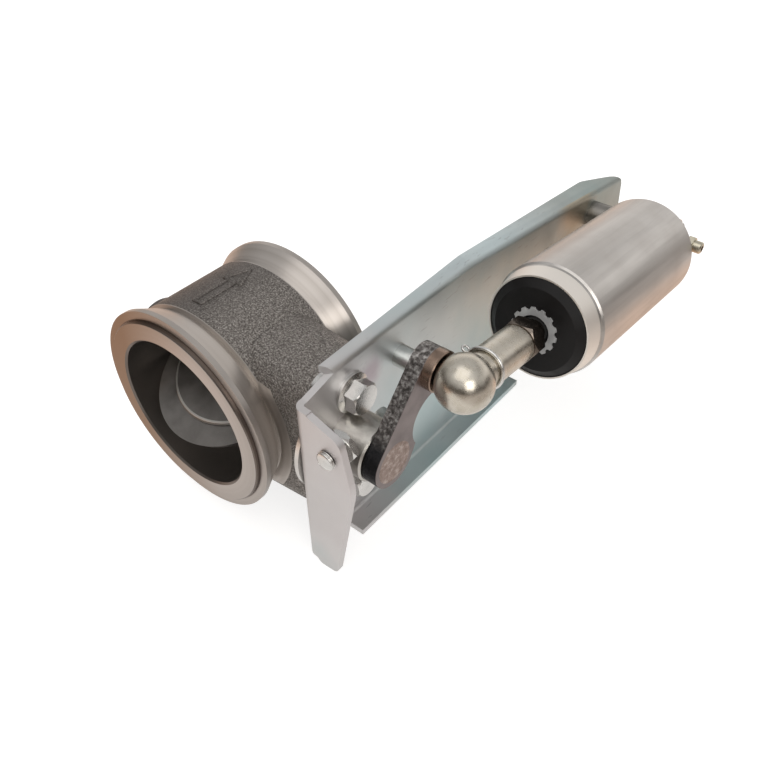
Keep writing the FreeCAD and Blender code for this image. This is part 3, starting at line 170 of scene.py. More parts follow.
# The room: white to the camera and grey light on matt surfaces. Metal mirrors a plain studio, dim
# in front and grey overhead, with a bright wall behind the valve and a dark doorway low to the
# right. Its places are directions from -1 to 1, and its heights run from 0 at the feet to 1.
FRONT_ROOM = [
    (0.0, (0.4, 0.34, 0.3)),
    (0.47, (0.07, 0.06, 0.055)),
    (0.63, (0.12, 0.11, 0.1)),
    (0.78, 0.56),
    (0.98, 0.62),
]
BACK_ROOM = [
    (0.0, (0.4, 0.34, 0.3)),
    (0.47, (0.5, 0.48, 0.46)),
    (0.62, (1.1, 1.07, 1.04)),
    (0.84, 0.43),
    (0.98, 0.7),
]
BACK_STARTS = -0.1
BACK_FULL = 0.75
DOORWAY = (0.035, 0.028, 0.022)
DOOR_SIDE = 0.4
DOOR_MIDDLE = 0.66
DOOR_TOP = 0.68
DOOR_DARKEST = 0.58
ROOM_GREY = (0.66, 0.66, 0.66)
WHITE = (1.0, 1.0, 1.0)


def grade(tree, value, stops):
    """Turn a value into a colour, or into a grey, along a row of stops."""
    node = add(tree, "ShaderNodeValToRGB", {0: value})
    elements = node.color_ramp.elements
    while len(elements) < len(stops):
        elements.new(0.5)
    for element, (place, colour) in zip(elements, stops):
        shade = (colour,) * 3 if isinstance(colour, (int, float)) else colour
        element.position = place
        element.color = (*shade, 1)
    return node.outputs[0]


def times(tree, first, *others):
    """Multiply values together."""
    for other in others:
        first = sums(tree, "MULTIPLY", first, other)
    return first


world = bpy.data.worlds.new("studio")
bpy.context.scene.world = world
world.use_nodes = True
tree = world.node_tree
tree.nodes.clear()
ray = add(tree, "ShaderNodeLightPath")
towards = add(tree, "ShaderNodeTexCoord").outputs["Generated"]
apart = add(tree, "ShaderNodeSeparateXYZ", {0: towards})
height = sums(tree, "ADD", times(tree, apart.outputs["Z"], 0.5), 0.5)
to_back = fade(tree, apart.outputs["Y"], BACK_STARTS, BACK_FULL)
room = blend(tree, to_back, grade(tree, height, FRONT_ROOM), grade(tree, height, BACK_ROOM))
to_right = fade(tree, apart.outputs["X"], DOOR_SIDE, DOOR_MIDDLE)
low_down = fade(tree, height, DOOR_TOP, DOOR_DARKEST)
room = blend(tree, times(tree, to_right, low_down), room, DOORWAY)
seen = sums(tree, "MAXIMUM", ray.outputs["Is Camera Ray"], ray.outputs["Is Transmission Ray"])
shown = blend(tree, ray.outputs["Is Glossy Ray"], ROOM_GREY, room)
shown = blend(tree, seen, shown, WHITE)
sky = add(tree, "ShaderNodeBackground", {"Color": shown, "Strength": 1.0})
add(tree, "ShaderNodeOutputWorld", {"Surface": sky.outputs[0]})

# The lamps: three soft square ones, above in front, behind and to the right, turned to the valve.
# A row gives a lamp's name, place, width, watts and tint, and whether metal mirrors it.
VALVE_MIDDLE = Vector((0.045, 0.085, 0.0))
LAMPS = (
    ("lamp_above", (0.1, -0.3, 1.1), 1.0, 2.8, (1.0, 0.985, 0.96), True),
    ("lamp_back", (-0.35, 0.85, 0.75), 0.6, 5.0, (1.0, 0.99, 0.98), False),
    ("lamp_right", (0.78, -0.42, 0.55), 0.5, 2.4, (1.0, 0.97, 0.93), True),
)
for lamp_name, place, width, watts, tint, in_metal in LAMPS:
    lamp_data = bpy.data.lights.new(lamp_name, "AREA")
    lamp_data.size = width
    lamp_data.energy = watts
    lamp_data.color = tint
    lamp = bpy.data.objects.new(lamp_name, lamp_data)
    bpy.context.scene.collection.objects.link(lamp)
    lamp.location = place
    lamp.visible_glossy = in_metal
    lamp.rotation_mode = "QUATERNION"
    lamp.rotation_quaternion = (VALVE_MIDDLE - Vector(place)).to_track_quat("-Z", "Y")

# The casting: the housing of heat-resisting cast iron, poured in sand, which leaves a grainy
# skin. Both clamp flanges and the bore are turned on a lathe afterwards. The pipe runs along Y,
# and the gasket face is the front one, at the -Y end.
BODY_AXIS = (0, 1, 0)
BODY_MIDDLE = (0, 0, 0)
FLANGE_START = 20.2 * MM
FLANGE_RADIUS = 50.0 * MM
BORE_RADIUS = 36.4 * MM
SKIN_GRAINS = 1500.0
SKIN_BLOTS = 55.0
GRAINY_SKIN = [(0.34, (0.115, 0.103, 0.094)), (0.5, (0.2, 0.182, 0.168)), (0.68, (0.4, 0.372, 0.345))]
CALM_SKIN = [(0.35, (0.075, 0.066, 0.06)), (0.6, (0.13, 0.115, 0.107))]
TURNED_METAL = [(0.3, (0.38, 0.345, 0.315)), (0.7, (0.52, 0.48, 0.45))]
TOOL_LINES = 3600.0
TOOL_WAVES = 150.0
BORE_SKIN = (0.17, 0.15, 0.135)
SKIN_GLOSS = [(0.3, 0.62), (0.7, 0.38)]
TURNED_GLOSS = [(0.3, 0.3), (0.7, 0.36)]
SKIN_DEPTH = 0.7 * MM
TOOL_DEPTH = 0.02 * MM


def start_paint(name, roughness, metallic):
    """Begin a material: its tree, its shader and the piece's own coordinates."""
    material = bpy.data.materials.new(name)
    material.use_nodes = True
    tree = material.node_tree
    shader = tree.nodes["Principled BSDF"]
    shader.inputs["Metallic"].default_value = metallic
    shader.inputs["Roughness"].default_value = roughness
    here = add(tree, "ShaderNodeTexCoord").outputs["Object"]
    return material, tree, shader, here


def feed(tree, shader, **sockets):
    """Link worked-out values to a shader's sockets."""
    for name, value in sockets.items():
        tree.links.new(value, shader.inputs[name.replace("_", " ")])


def mottle(tree, here, per_metre, detail=4.0, roughness=0.55):
    """Cloudy noise with a number of blots to the metre."""
    inputs = {"Vector": here, "Scale": per_metre, "Detail": detail, "Roughness": roughness}
    return add(tree, "ShaderNodeTexNoise", inputs).outputs["Fac"]


def round_axis(tree, here, origin, axis):
    """How far each point lies along an axis and out from it."""
    reach = add(tree, "ShaderNodeVectorMath", {0: here, 1: origin}, operation="SUBTRACT").outputs[0]
    along = add(tree, "ShaderNodeVectorMath", {0: reach, 1: axis}, operation="DOT_PRODUCT").outputs["Value"]
    line = add(tree, "ShaderNodeVectorMath", {0: axis, "Scale": along}, operation="SCALE").outputs[0]
    return along, far_from(tree, reach, line)


def lathe_lines(tree, along, out, per_metre):
    """Fine rings, seen on faces square to the axis as well as on round ones."""
    across = sums(tree, "ADD", along, out)
    inputs = {"W": across, "Scale": per_metre, "Detail": 3.0}
    return add(tree, "ShaderNodeTexNoise", inputs, noise_dimensions="1D").outputs["Fac"]


def relief(tree, height, depth, strength, under=None):
    """Stand a pattern proud of a surface, by a depth in metres."""
    inputs = {"Height": height, "Distance": depth, "Strength": strength}
    if under is not None:
        inputs["Normal"] = under
    return add(tree, "ShaderNodeBump", inputs).outputs[0]


def dress(material, slot, *nodes):
    """Give CAD nodes their finished material."""
    for name in nodes:
        piece = frame["nodes"][name]
        piece.data.materials.clear()
        piece.data.materials.append(material)


casting, tree, shader, here = start_paint("grainy_casting", roughness=0.5, metallic=0.85)
along, out = round_axis(tree, here, BODY_MIDDLE, BODY_AXIS)
apart = add(tree, "ShaderNodeSeparateXYZ", {0: here})
from_middle = sums(tree, "ABSOLUTE", along)
past_neck = sums(tree, "GREATER_THAN", from_middle, FLANGE_START)
near_pipe = sums(tree, "LESS_THAN", out, FLANGE_RADIUS)
in_bore = sums(tree, "LESS_THAN", out, BORE_RADIUS)
machined = sums(tree, "MAXIMUM", times(tree, past_neck, near_pipe), in_bore)
grain = mottle(tree, here, SKIN_GRAINS, detail=3.0, roughness=0.5)
patches = mottle(tree, here, SKIN_BLOTS, detail=3.0)

# The sand left the skin smooth over the crown and beside the boss, and grainy between the two
SMOOTH_SPOT = (41.0 * MM, 7.0 * MM, 21.0 * MM)
SMOOTH_REACH = 10.0 * MM
SMOOTH_ENDS = 17.0 * MM
CROWN_EDGE = -12.0 * MM
SHOULDER_EDGE = 14.0 * MM
CROWN_GRAIN = 0.25
off_spot = fade(tree, far_from(tree, here, SMOOTH_SPOT), SMOOTH_REACH, SMOOTH_ENDS)
off_crown = fade(tree, apart.outputs["X"], CROWN_EDGE, SHOULDER_EDGE)
off_crown = sums(tree, "ADD", times(tree, off_crown, 1.0 - CROWN_GRAIN), CROWN_GRAIN)
grainy = times(tree, off_crown, off_spot)
skin = blend(tree, grainy, grade(tree, patches, CALM_SKIN), grade(tree, grain, GRAINY_SKIN))

# Painted reflection: a straw tint on one side of the gasket face. Painted shade: the corner inside each rim
PAINTED_WARM_REFLECTION = (0.25, 0.16, 0.1)
WARM_REFLECTION_STARTS = 16.0 * MM
WARM_REFLECTION_FULL = -30.0 * MM
GASKET_FACE = -33.2 * MM
PAINTED_CORNER_SHADE = (0.09, 0.06, 0.045)
SHADE_RING_RADIUS = 44.5 * MM
SHADE_RING_WIDTH = 0.5 * MM
SHADE_RING_START = 33.0 * MM
SHADE_RING_SHARE = 0.8
rings = lathe_lines(tree, along, out, TOOL_LINES)
turned = grade(tree, lathe_lines(tree, along, out, TOOL_WAVES), TURNED_METAL)
# Painted reflection: the straw tint stands for warm light mirrored on the gasket face's left side
warm_reflection_share = fade(tree, apart.outputs["X"], WARM_REFLECTION_STARTS, WARM_REFLECTION_FULL)
on_gasket = sums(tree, "LESS_THAN", along, GASKET_FACE)
turned = blend(tree, times(tree, warm_reflection_share, on_gasket), turned, PAINTED_WARM_REFLECTION)
# Painted shade: a dark ring in the corner inside the rim, on both clamp faces
from_corner = sums(tree, "ABSOLUTE", sums(tree, "SUBTRACT", out, SHADE_RING_RADIUS))
in_corner = sums(tree, "LESS_THAN", from_corner, SHADE_RING_WIDTH)
in_corner = times(tree, in_corner, sums(tree, "GREATER_THAN", from_middle, SHADE_RING_START))
turned = blend(tree, times(tree, in_corner, SHADE_RING_SHARE), turned, PAINTED_CORNER_SHADE)
turned = blend(tree, in_bore, turned, BORE_SKIN)

rough_skin = grade(tree, grain, SKIN_GLOSS)
rough_turned = grade(tree, rings, TURNED_GLOSS)
skin_height = times(tree, grain, grainy, sums(tree, "SUBTRACT", 1.0, machined))
bumps = relief(tree, skin_height, SKIN_DEPTH, strength=0.8)
feed(
    tree,
    shader,
    Base_Color=blend(tree, machined, skin, turned),
    Roughness=blend(tree, machined, rough_skin, rough_turned),
    Normal=relief(tree, times(tree, rings, machined), TOOL_DEPTH, strength=0.3, under=bumps),
)
dress(casting, "cast_body", "valve_body")

# The flow arrow: a thin raised outline on the crown that shows which way the gas goes. It is
# cast with the body, of the same iron. Its corners are given in mm, along the pipe and across.
ARROW_CORNERS = (
    (-13.5, 2.4), (5.5, 2.4), (5.5, 5.2), (16.0, 0.0), (5.5, -5.2), (5.5, -2.4), (-13.5, -2.4),
)
ARROW_MIDDLE = -4.0 * MM
ARROW_STEPS = 12
ARROW_RIDGE = 0.8 * MM
ARROW_SINK = 0.1 * MM
CROWN_RADIUS = 44.9 * MM
ROUNDNESS = 2


def sweep_path(name, path, radius):
    """A round ridge of even thickness along a closed path of points, as a plain mesh."""
    line = bpy.data.curves.new(name, "CURVE")
    line.dimensions = "3D"
    line.bevel_depth = radius
    line.bevel_resolution = ROUNDNESS
    spline = line.splines.new("POLY")
    spline.points.add(len(path) - 1)
    for point, place in zip(spline.points, path):
        point.co = (*place, 1.0)
    spline.use_cyclic_u = True
    drawn = bpy.data.objects.new(name + "_line", line)
    bpy.context.scene.collection.objects.link(drawn)
    finished = drawn.evaluated_get(bpy.context.evaluated_depsgraph_get())
    mesh = bpy.data.meshes.new_from_object(finished)
    bpy.data.objects.remove(drawn)
    for face in mesh.polygons:
        face.use_smooth = True
    piece = bpy.data.objects.new(name, mesh)
    bpy.context.scene.collection.objects.link(piece)
    return piece


arrow_path = []
arrow_height = CROWN_RADIUS - ARROW_SINK
for corner, next_corner in zip(ARROW_CORNERS, ARROW_CORNERS[1:] + ARROW_CORNERS[:1]):
    for step in range(ARROW_STEPS):
        share = step / ARROW_STEPS
        along_pipe = (corner[0] * (1 - share) + next_corner[0] * share) * MM
        across_pipe = (corner[1] * (1 - share) + next_corner[1] * share) * MM + ARROW_MIDDLE
        angle = across_pipe / CROWN_RADIUS
        arrow_path.append((arrow_height * math.sin(angle), along_pipe, arrow_height * math.cos(angle)))
arrow = sweep_path("flow_arrow", arrow_path, ARROW_RIDGE)
arrow.data.materials.append(casting)
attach(arrow, "root")

# The butterfly plate: a stainless casting that closes the bore, left satin, with a shallow dish in its
# middle.
# A pale ring is painted on the dish's edge as a painted highlight. Two screws hold it on the shaft's flat.
PLATE_METAL = [(0.3, (0.17, 0.158, 0.148)), (0.7, (0.25, 0.236, 0.222))]
PLATE_GLOSS = [(0.3, 0.36), (0.7, 0.52)]
DISH_EDGE_HIGHLIGHT = (0.55, 0.53, 0.5)
DISH_RADIUS = 29.5 * MM
DISH_EDGE = 0.45 * MM
plate_paint, tree, shader, here = start_paint("satin_plate", roughness=0.42, metallic=0.9)
cloud = mottle(tree, here, per_metre=120.0)
fine = mottle(tree, here, per_metre=1400.0, detail=3.0)
from_edge = sums(tree, "SUBTRACT", far_from(tree, here, BODY_MIDDLE), DISH_RADIUS)
at_edge = sums(tree, "LESS_THAN", sums(tree, "ABSOLUTE", from_edge), DISH_EDGE)
feed(
    tree,
    shader,
    Base_Color=blend(tree, at_edge, grade(tree, cloud, PLATE_METAL), DISH_EDGE_HIGHLIGHT),
    Roughness=grade(tree, cloud, PLATE_GLOSS),
    Normal=relief(tree, fine, depth=0.1 * MM, strength=0.5),
)
dress(plate_paint, "plate_steel", "butterfly_plate")

# The shaft and the plate's screws: ground stainless steel. The shaft's outer end is beaten over
# the lever to hold it, which leaves the end mottled brown.
SHAFT_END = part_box("valve_shaft")[1].x
BEATEN_DEPTH = 1.5 * MM
BEATEN_BROWN = [(0.34, (0.19, 0.13, 0.105)), (0.52, (0.29, 0.215, 0.185)), (0.7, (0.5, 0.42, 0.38))]


def plain_metal(name, dark, light, roughness, blots=160.0, grains=1600.0, depth=0.06 * MM, metallic=1.0):
    """A metal with a cloudy colour, uneven gloss and a fine grain."""
    material, tree, shader, here = start_paint(name, roughness, metallic)
    cloud = mottle(tree, here, blots)
    fine = mottle(tree, here, grains, detail=3.0)
    feed(
        tree,
        shader,
        Base_Color=grade(tree, cloud, [(0.3, dark), (0.7, light)]),
        Roughness=grade(tree, cloud, [(0.3, roughness * 0.8), (0.7, min(1.0, roughness * 1.25))]),
        Normal=relief(tree, fine, depth, strength=0.5),
    )
    return material


shaft_steel = plain_metal(
    "ground_shaft",
    dark=(0.3, 0.28, 0.26),
    light=(0.46, 0.44, 0.42),
    roughness=0.3,
)
tree = shaft_steel.node_tree
shader = tree.nodes["Principled BSDF"]
here = add(tree, "ShaderNodeTexCoord").outputs["Object"]
apart = add(tree, "ShaderNodeSeparateXYZ", {0: here})
at_end = sums(tree, "GREATER_THAN", apart.outputs["X"], SHAFT_END - BEATEN_DEPTH)
dents = mottle(tree, here, per_metre=380.0, detail=4.0, roughness=0.65)
beaten = grade(tree, dents, BEATEN_BROWN)
ground = shader.inputs["Base Color"].links[0].from_socket
feed(tree, shader, Base_Color=blend(tree, at_end, ground, beaten))
dress(shaft_steel, "steel", "valve_shaft", "plate_screws")

# The bushes: sintered bronze rings that need no grease. They are pressed into the two shaft
# bosses, the hub, the front cap and the cylinder's eye.
bronze = plain_metal(
    "sintered_bronze",
    dark=(0.34, 0.22, 0.1),
    light=(0.5, 0.34, 0.17),
    roughness=0.42,
)
dress(bronze, "bronze", "body_bush_drive", "body_bush_blind", "hub_bush", "rod_bush", "pivot_bush")

# The shaft's packing: rings of pressed graphite, which stand the heat, held in the hub's inner
# end. They rub on the shaft and keep the gas in.
graphite = plain_metal(
    "pressed_graphite",
    dark=(0.03, 0.03, 0.032),
    light=(0.06, 0.06, 0.065),
    roughness=0.5,
    metallic=0.3,
)
dress(graphite, "graphite", "shaft_seal")

# The small bright parts: the plug of the blind boss, the plate behind the bracket, the lever's
# rest pin, and the stop screw with its nut. All are steel, bright zinc plated.
bright_zinc = plain_metal(
    "bright_zinc",
    dark=(0.62, 0.61, 0.59),
    light=(0.78, 0.77, 0.75),
    roughness=0.24,
)
dress(bright_zinc, "zinc_bright", "end_plug", "spacer_plate", "rest_pin", "stop_screw", "stop_screw_nut")

# The bearing hub: a steel barrel turned on a lathe, blasted and then zinc plated, that carries
# the shaft between the bracket and the lever.
hub_zinc = plain_metal(
    "blasted_hub",
    dark=(0.46, 0.44, 0.41),
    light=(0.62, 0.6, 0.56),
    roughness=0.36,
    blots=220.0,
    grains=900.0,
    depth=0.15 * MM,
)
dress(hub_zinc, "zinc_bright", "bearing_hub")

# The bracket: sheet steel cut and bent to a channel, zinc plated and passivated. The film on the
# zinc gives it a faint sheen, blue-green along its middle and olive towards the far end.
BRACKET_START = -30.0 * MM
BRACKET_END = 240.0 * MM
SHEEN = [
    (0.0, (0.66, 0.64, 0.635)),
    (0.12, (0.66, 0.65, 0.65)),
    (0.26, (0.63, 0.68, 0.685)),
    (0.5, (0.61, 0.7, 0.72)),
    (0.75, (0.42, 0.46, 0.45)),
    (1.0, (0.38, 0.42, 0.4)),
]
SHEEN_CLOUDS = [(0.32, (0.82, 0.93, 0.94)), (0.5, (1.0, 1.0, 1.0)), (0.68, (1.0, 0.975, 0.98))]
CLOUD_SHARE = 0.8
SHEET_GLOSS = [(0.3, 0.4), (0.7, 0.52)]
sheet_zinc, tree, shader, here = start_paint("passivated_sheet", roughness=0.34, metallic=1.0)
apart = add(tree, "ShaderNodeSeparateXYZ", {0: here})
reach = fade(tree, apart.outputs["Y"], BRACKET_START, BRACKET_END)
wide = mottle(tree, here, per_metre=14.0, detail=3.0)
fine = mottle(tree, here, per_metre=1100.0, detail=3.0)
colour = blend(tree, CLOUD_SHARE, grade(tree, reach, SHEEN), grade(tree, wide, SHEEN_CLOUDS), "MULTIPLY")

# The plating bath left darker stains on the inner face: mauve by the upper bolt and straw round
# the pivot. A row gives a stain's middle and spread in mm, and its tint.
STAINS = (
    ((62.5, 16.0, 24.0), 12.0, (0.5, 0.43, 0.47)),
    ((62.5, 186.0, 24.0), 24.0, (0.5, 0.43, 0.32)),
    ((62.5, 2.0, 14.0), 10.0, (0.5, 0.46, 0.46)),
)
INNER_FACE = 61.0 * MM
STAIN_OUTSIDE = 1.25
STAIN_INSIDE = 0.7
STAIN_RAGGED = 12.0 * MM
STAIN_SHARE = 0.75
on_inside = sums(tree, "GREATER_THAN", apart.outputs["X"], INNER_FACE)
for middle, spread, tint in STAINS:
    spot = tuple(value * MM for value in middle)
    ragged = times(tree, mottle(tree, here, per_metre=90.0), STAIN_RAGGED)
    ragged = sums(tree, "ADD", far_from(tree, here, spot), ragged)
    stained = fade(tree, ragged, spread * MM * STAIN_OUTSIDE, spread * MM * STAIN_INSIDE)
    colour = blend(tree, times(tree, stained, on_inside, STAIN_SHARE), colour, tint)

# Handling left short fine scuffs, in patches
SCUFF_STRETCH = (1.0, 0.16, 1.0)
SCUFF_TURN = (0.5, 0.0, 0.0)
SCUFF_GREY = (0.3, 0.3, 0.31)
SCUFF_SHARE = [(0.62, 0.0), (0.7, 1.0)]
HANDLED_SHARE = [(0.45, 0.0), (0.6, 0.5)]
scuff_map = add(tree, "ShaderNodeMapping", {"Vector": here, "Scale": SCUFF_STRETCH, "Rotation": SCUFF_TURN})
scuffs = mottle(tree, scuff_map.outputs[0], per_metre=900.0, detail=2.0)
scuffs = grade(tree, scuffs, SCUFF_SHARE)
handled = grade(tree, wide, HANDLED_SHARE)
past_bolts = sums(tree, "GREATER_THAN", apart.outputs["Y"], 0.0)
colour = blend(tree, times(tree, scuffs, handled, past_bolts), colour, SCUFF_GREY)
feed(
    tree,
    shader,
    Base_Color=colour,
    Roughness=grade(tree, mottle(tree, here, per_metre=60.0), SHEET_GLOSS),
    Normal=relief(tree, fine, depth=0.04 * MM, strength=0.5),
)
dress(sheet_zinc, "zinc_sheet", "bracket")

# The fasteners: bright zinc on the two flange bolts, the piston's nut and the socket's wire clip,
# and zinc painted dark, as painted shade, on the pivot stud, which carries the cylinder at the
# bracket's far end, and on its washer.
dress(bright_zinc, "zinc_bright", "bracket_bolts", "piston_nut", "socket_clip")
zinc_in_painted_shade = plain_metal(
    "zinc_in_painted_shade",
    dark=(0.2, 0.19, 0.17),
    light=(0.32, 0.3, 0.28),
    roughness=0.36,
)
dress(zinc_in_painted_shade, "zinc_bright", "pivot_stud", "pivot_washer")

# The lever: a steel arm, hot forged, ground on its outer face, and riveted on the shaft's end.
# Its edge stays rough: a dark sheared skin round the shaft, and a coarse forged one up the arm.
LEVER_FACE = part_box("lever")[1].x
GROUND_DEPTH = 0.2 * MM
SHEARED_TOP = 10.0 * MM
FORGED_FROM = 15.0 * MM
FORGED_SKIN = [(0.36, (0.06, 0.054, 0.05)), (0.5, (0.17, 0.155, 0.148)), (0.68, (0.46, 0.44, 0.42))]
SHEARED_SKIN = [(0.3, (0.03, 0.03, 0.033)), (0.7, (0.055, 0.055, 0.06))]
GROUND_FACE = [(0.3, (0.17, 0.14, 0.137)), (0.7, (0.26, 0.22, 0.213))]
FORGED_GLOSS = [(0.3, 0.5), (0.7, 0.32)]
GROUND_GLOSS = (0.34, 0.34, 0.34)
FORGED_DEPTH = 0.5 * MM
forged, tree, shader, here = start_paint("forged_lever", roughness=0.45, metallic=0.9)
apart = add(tree, "ShaderNodeSeparateXYZ", {0: here})
on_face = sums(tree, "GREATER_THAN", apart.outputs["X"], LEVER_FACE - GROUND_DEPTH)
off_face = sums(tree, "SUBTRACT", 1.0, on_face)
grain = mottle(tree, here, per_metre=640.0, detail=4.0, roughness=0.6)
cloud = mottle(tree, here, per_metre=90.0, detail=3.0)
forged_part = fade(tree, apart.outputs["Z"], SHEARED_TOP, FORGED_FROM)
side = blend(tree, forged_part, grade(tree, grain, SHEARED_SKIN), grade(tree, grain, FORGED_SKIN))
feed(
    tree,
    shader,
    Base_Color=blend(tree, on_face, side, grade(tree, cloud, GROUND_FACE)),
    Roughness=blend(tree, on_face, grade(tree, grain, FORGED_GLOSS), GROUND_GLOSS),
    Normal=relief(tree, times(tree, grain, off_face), FORGED_DEPTH, strength=0.5),
)
dress(forged, "forged", "lever")

# The stop screw's end: the domed tip that stands out of the bracket's tab, past its tapped hole.
# It is the screw's own zinc plated steel, turned on a lathe, and rides with the bracket.
SCREW_X = 76.25 * MM
SCREW_Z = 17.0 * MM
TIP_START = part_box("bracket")[0].y
TIP_RADIUS = 3.9 * MM
TIP_LENGTH = 2.6 * MM
TIP_DOME = 0.9 * MM
TIP_SINK = 0.4 * MM
DOME_STEPS = 8
TURN_SIDES = 48


def lathe(name, outline, place):
    """Turn an outline of (radius, distance) points about a line that runs to the front from a place."""
    shell = bmesh.new()
    rows = []
    for radius, distance in outline:
        row = []
        for side in range(TURN_SIDES):
            angle = 2 * math.pi * side / TURN_SIDES
            beside = place.x + radius * math.cos(angle)
            above = place.z + radius * math.sin(angle)
            row.append(shell.verts.new((beside, place.y - distance, above)))
        rows.append(row)
    for near, far in zip(rows, rows[1:]):
        for side in range(TURN_SIDES):
            after = (side + 1) % TURN_SIDES
            shell.faces.new((near[side], near[after], far[after], far[side]))
    shell.faces.new(rows[0])
    shell.faces.new(tuple(reversed(rows[-1])))
    bmesh.ops.recalc_face_normals(shell, faces=shell.faces)
    mesh = bpy.data.meshes.new(name)
    shell.to_mesh(mesh)
    shell.free()
    for face in mesh.polygons:
        face.use_smooth = True
    piece = bpy.data.objects.new(name, mesh)
    bpy.context.scene.collection.objects.link(piece)
    return piece


dome_start = TIP_LENGTH - TIP_DOME
tip_outline = [(TIP_RADIUS, -TIP_SINK), (TIP_RADIUS, dome_start)]
for step in range(1, DOME_STEPS):
    angle = 0.5 * math.pi * step / DOME_STEPS
    tip_outline.append((TIP_RADIUS * math.cos(angle), dome_start + TIP_DOME * math.sin(angle)))
tip_place = Vector((SCREW_X, TIP_START, SCREW_Z))
screw_tip = lathe("stop_screw_tip", tip_outline, tip_place)
screw_tip.data.materials.append(bright_zinc)
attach(screw_tip, "root")

# The thread on that tip: one ridge, rolled into the steel and plated with it, that runs round
# the tip in a helix. A node tree winds it, from sizes that are its named inputs.
THREAD_PITCH = 0.8 * MM
THREAD_HEIGHT = 0.26 * MM
THREAD_TURNS = 2.4
RIDGE_SIDES = 8


def wind_thread(name, radius, pitch, turns, ridge, place, material):
    """Build a helical ridge with a node tree, and return it as a plain mesh at its place."""
    rules = bpy.data.node_groups.new(name + "_rules", "GeometryNodeTree")
    rules.interface.new_socket("Geometry", in_out="OUTPUT", socket_type="NodeSocketGeometry")
    sizes = (("Radius", radius), ("Turns", turns), ("Length", turns * pitch), ("Ridge", ridge))
    for label, value in sizes:
        socket = rules.interface.new_socket(label, in_out="INPUT", socket_type="NodeSocketFloat")
        socket.default_value = value
    given = rules.nodes.new("NodeGroupInput").outputs
    helix = add(
        rules,
        "GeometryNodeCurveSpiral",
        {
            "Resolution": TURN_SIDES,
            "Rotations": given["Turns"],
            "Start Radius": given["Radius"],
            "End Radius": given["Radius"],
            "Height": given["Length"],
        },
    )
    section = add(
        rules,
        "GeometryNodeCurvePrimitiveCircle",
        {"Resolution": RIDGE_SIDES, "Radius": given["Ridge"]},
    )
    ridge_mesh = add(
        rules,
        "GeometryNodeCurveToMesh",
        {"Curve": helix.outputs[0], "Profile Curve": section.outputs[0], "Fill Caps": True},
    )
    to_front = (math.pi / 2, 0.0, 0.0)
    set_down = add(
        rules,
        "GeometryNodeTransform",
        {"Geometry": ridge_mesh.outputs[0], "Translation": tuple(place), "Rotation": to_front},
    )
    single = add(rules, "GeometryNodeRealizeInstances", {"Geometry": set_down.outputs[0]})
    painted = add(rules, "GeometryNodeSetMaterial", {"Geometry": single.outputs[0], "Material": material})
    add(rules, "NodeGroupOutput", {"Geometry": painted.outputs[0]})
    carrier = bpy.data.objects.new(name + "_carrier", bpy.data.meshes.new(name + "_carrier"))
    bpy.context.scene.collection.objects.link(carrier)
    carrier.modifiers.new("rules", "NODES").node_group = rules
    finished = carrier.evaluated_get(bpy.context.evaluated_depsgraph_get())
    mesh = bpy.data.meshes.new_from_object(finished)
    bpy.data.objects.remove(carrier)
    piece = bpy.data.objects.new(name, mesh)
    bpy.context.scene.collection.objects.link(piece)
    return piece


thread = wind_thread(
    "stop_screw_thread", TIP_RADIUS, THREAD_PITCH, THREAD_TURNS, THREAD_HEIGHT, tip_place, bright_zinc
)
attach(thread, "root")

# The ball stud: a turned steel ball on a round collar, browned by heat and oil. Its shank is
# riveted in the lever's eye.
browned = plain_metal(
    "browned_stud",
    dark=(0.22, 0.155, 0.12),
    light=(0.36, 0.265, 0.21),
    roughness=0.26,
)
dress(browned, "stud_copper", "ball_stud")

# The ball socket: a turned steel housing with a threaded shank, plated with zinc nickel over a
# satin ground skin. It screws on the rod and snaps over the ball.
satin = plain_metal(
    "satin_socket",
    dark=(0.52, 0.475, 0.4),
    light=(0.68, 0.635, 0.56),
    roughness=0.27,
    blots=240.0,
    grains=1200.0,
)
dress(satin, "satin_zinc", "ball_socket")

# The clip's end: the plated wire round the socket, which keeps the ball in, is bent to a small
# eye at its end, to be pulled off by. It moves with the socket on the rod.
CLIP_LOW, CLIP_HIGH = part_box("socket_clip")
CLIP_MIDDLE = (CLIP_LOW + CLIP_HIGH) / 2
CLIP_RADIUS = 9.0 * MM
CLIP_WIRE = 0.55 * MM
EYE_RADIUS = 1.5 * MM
EYE_ANGLE = math.radians(207)
EYE_STEPS = 24
slide = next(joint for joint in frame["joints"] if joint["name"] == "rod_slide")
ROD_LINE = -Vector(slide["axis"])
beside = Vector((1.0, 0.0, 0.0))
upwards = ROD_LINE.cross(beside)
outward = math.cos(EYE_ANGLE) * beside + math.sin(EYE_ANGLE) * upwards
eye_middle = CLIP_MIDDLE + outward * (CLIP_RADIUS + EYE_RADIUS)
eye_path = []
for step in range(EYE_STEPS):
    angle = 2 * math.pi * step / EYE_STEPS
    eye_path.append(eye_middle + EYE_RADIUS * (math.cos(angle) * outward + math.sin(angle) * ROD_LINE))
eye = sweep_path("clip_eye", eye_path, CLIP_WIRE)
eye.data.materials.append(bright_zinc)
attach(eye, "rod")

# The piston rod and its lock nut: dark steel, kept oiled. The nut jams the socket on the rod's
# thread, so that the linkage keeps its length.
oiled = plain_metal(
    "oiled_rod",
    dark=(0.12, 0.1, 0.085),
    light=(0.26, 0.22, 0.19),
    roughness=0.24,
)
dress(oiled, "dark_steel", "piston_rod", "rod_lock_nut")

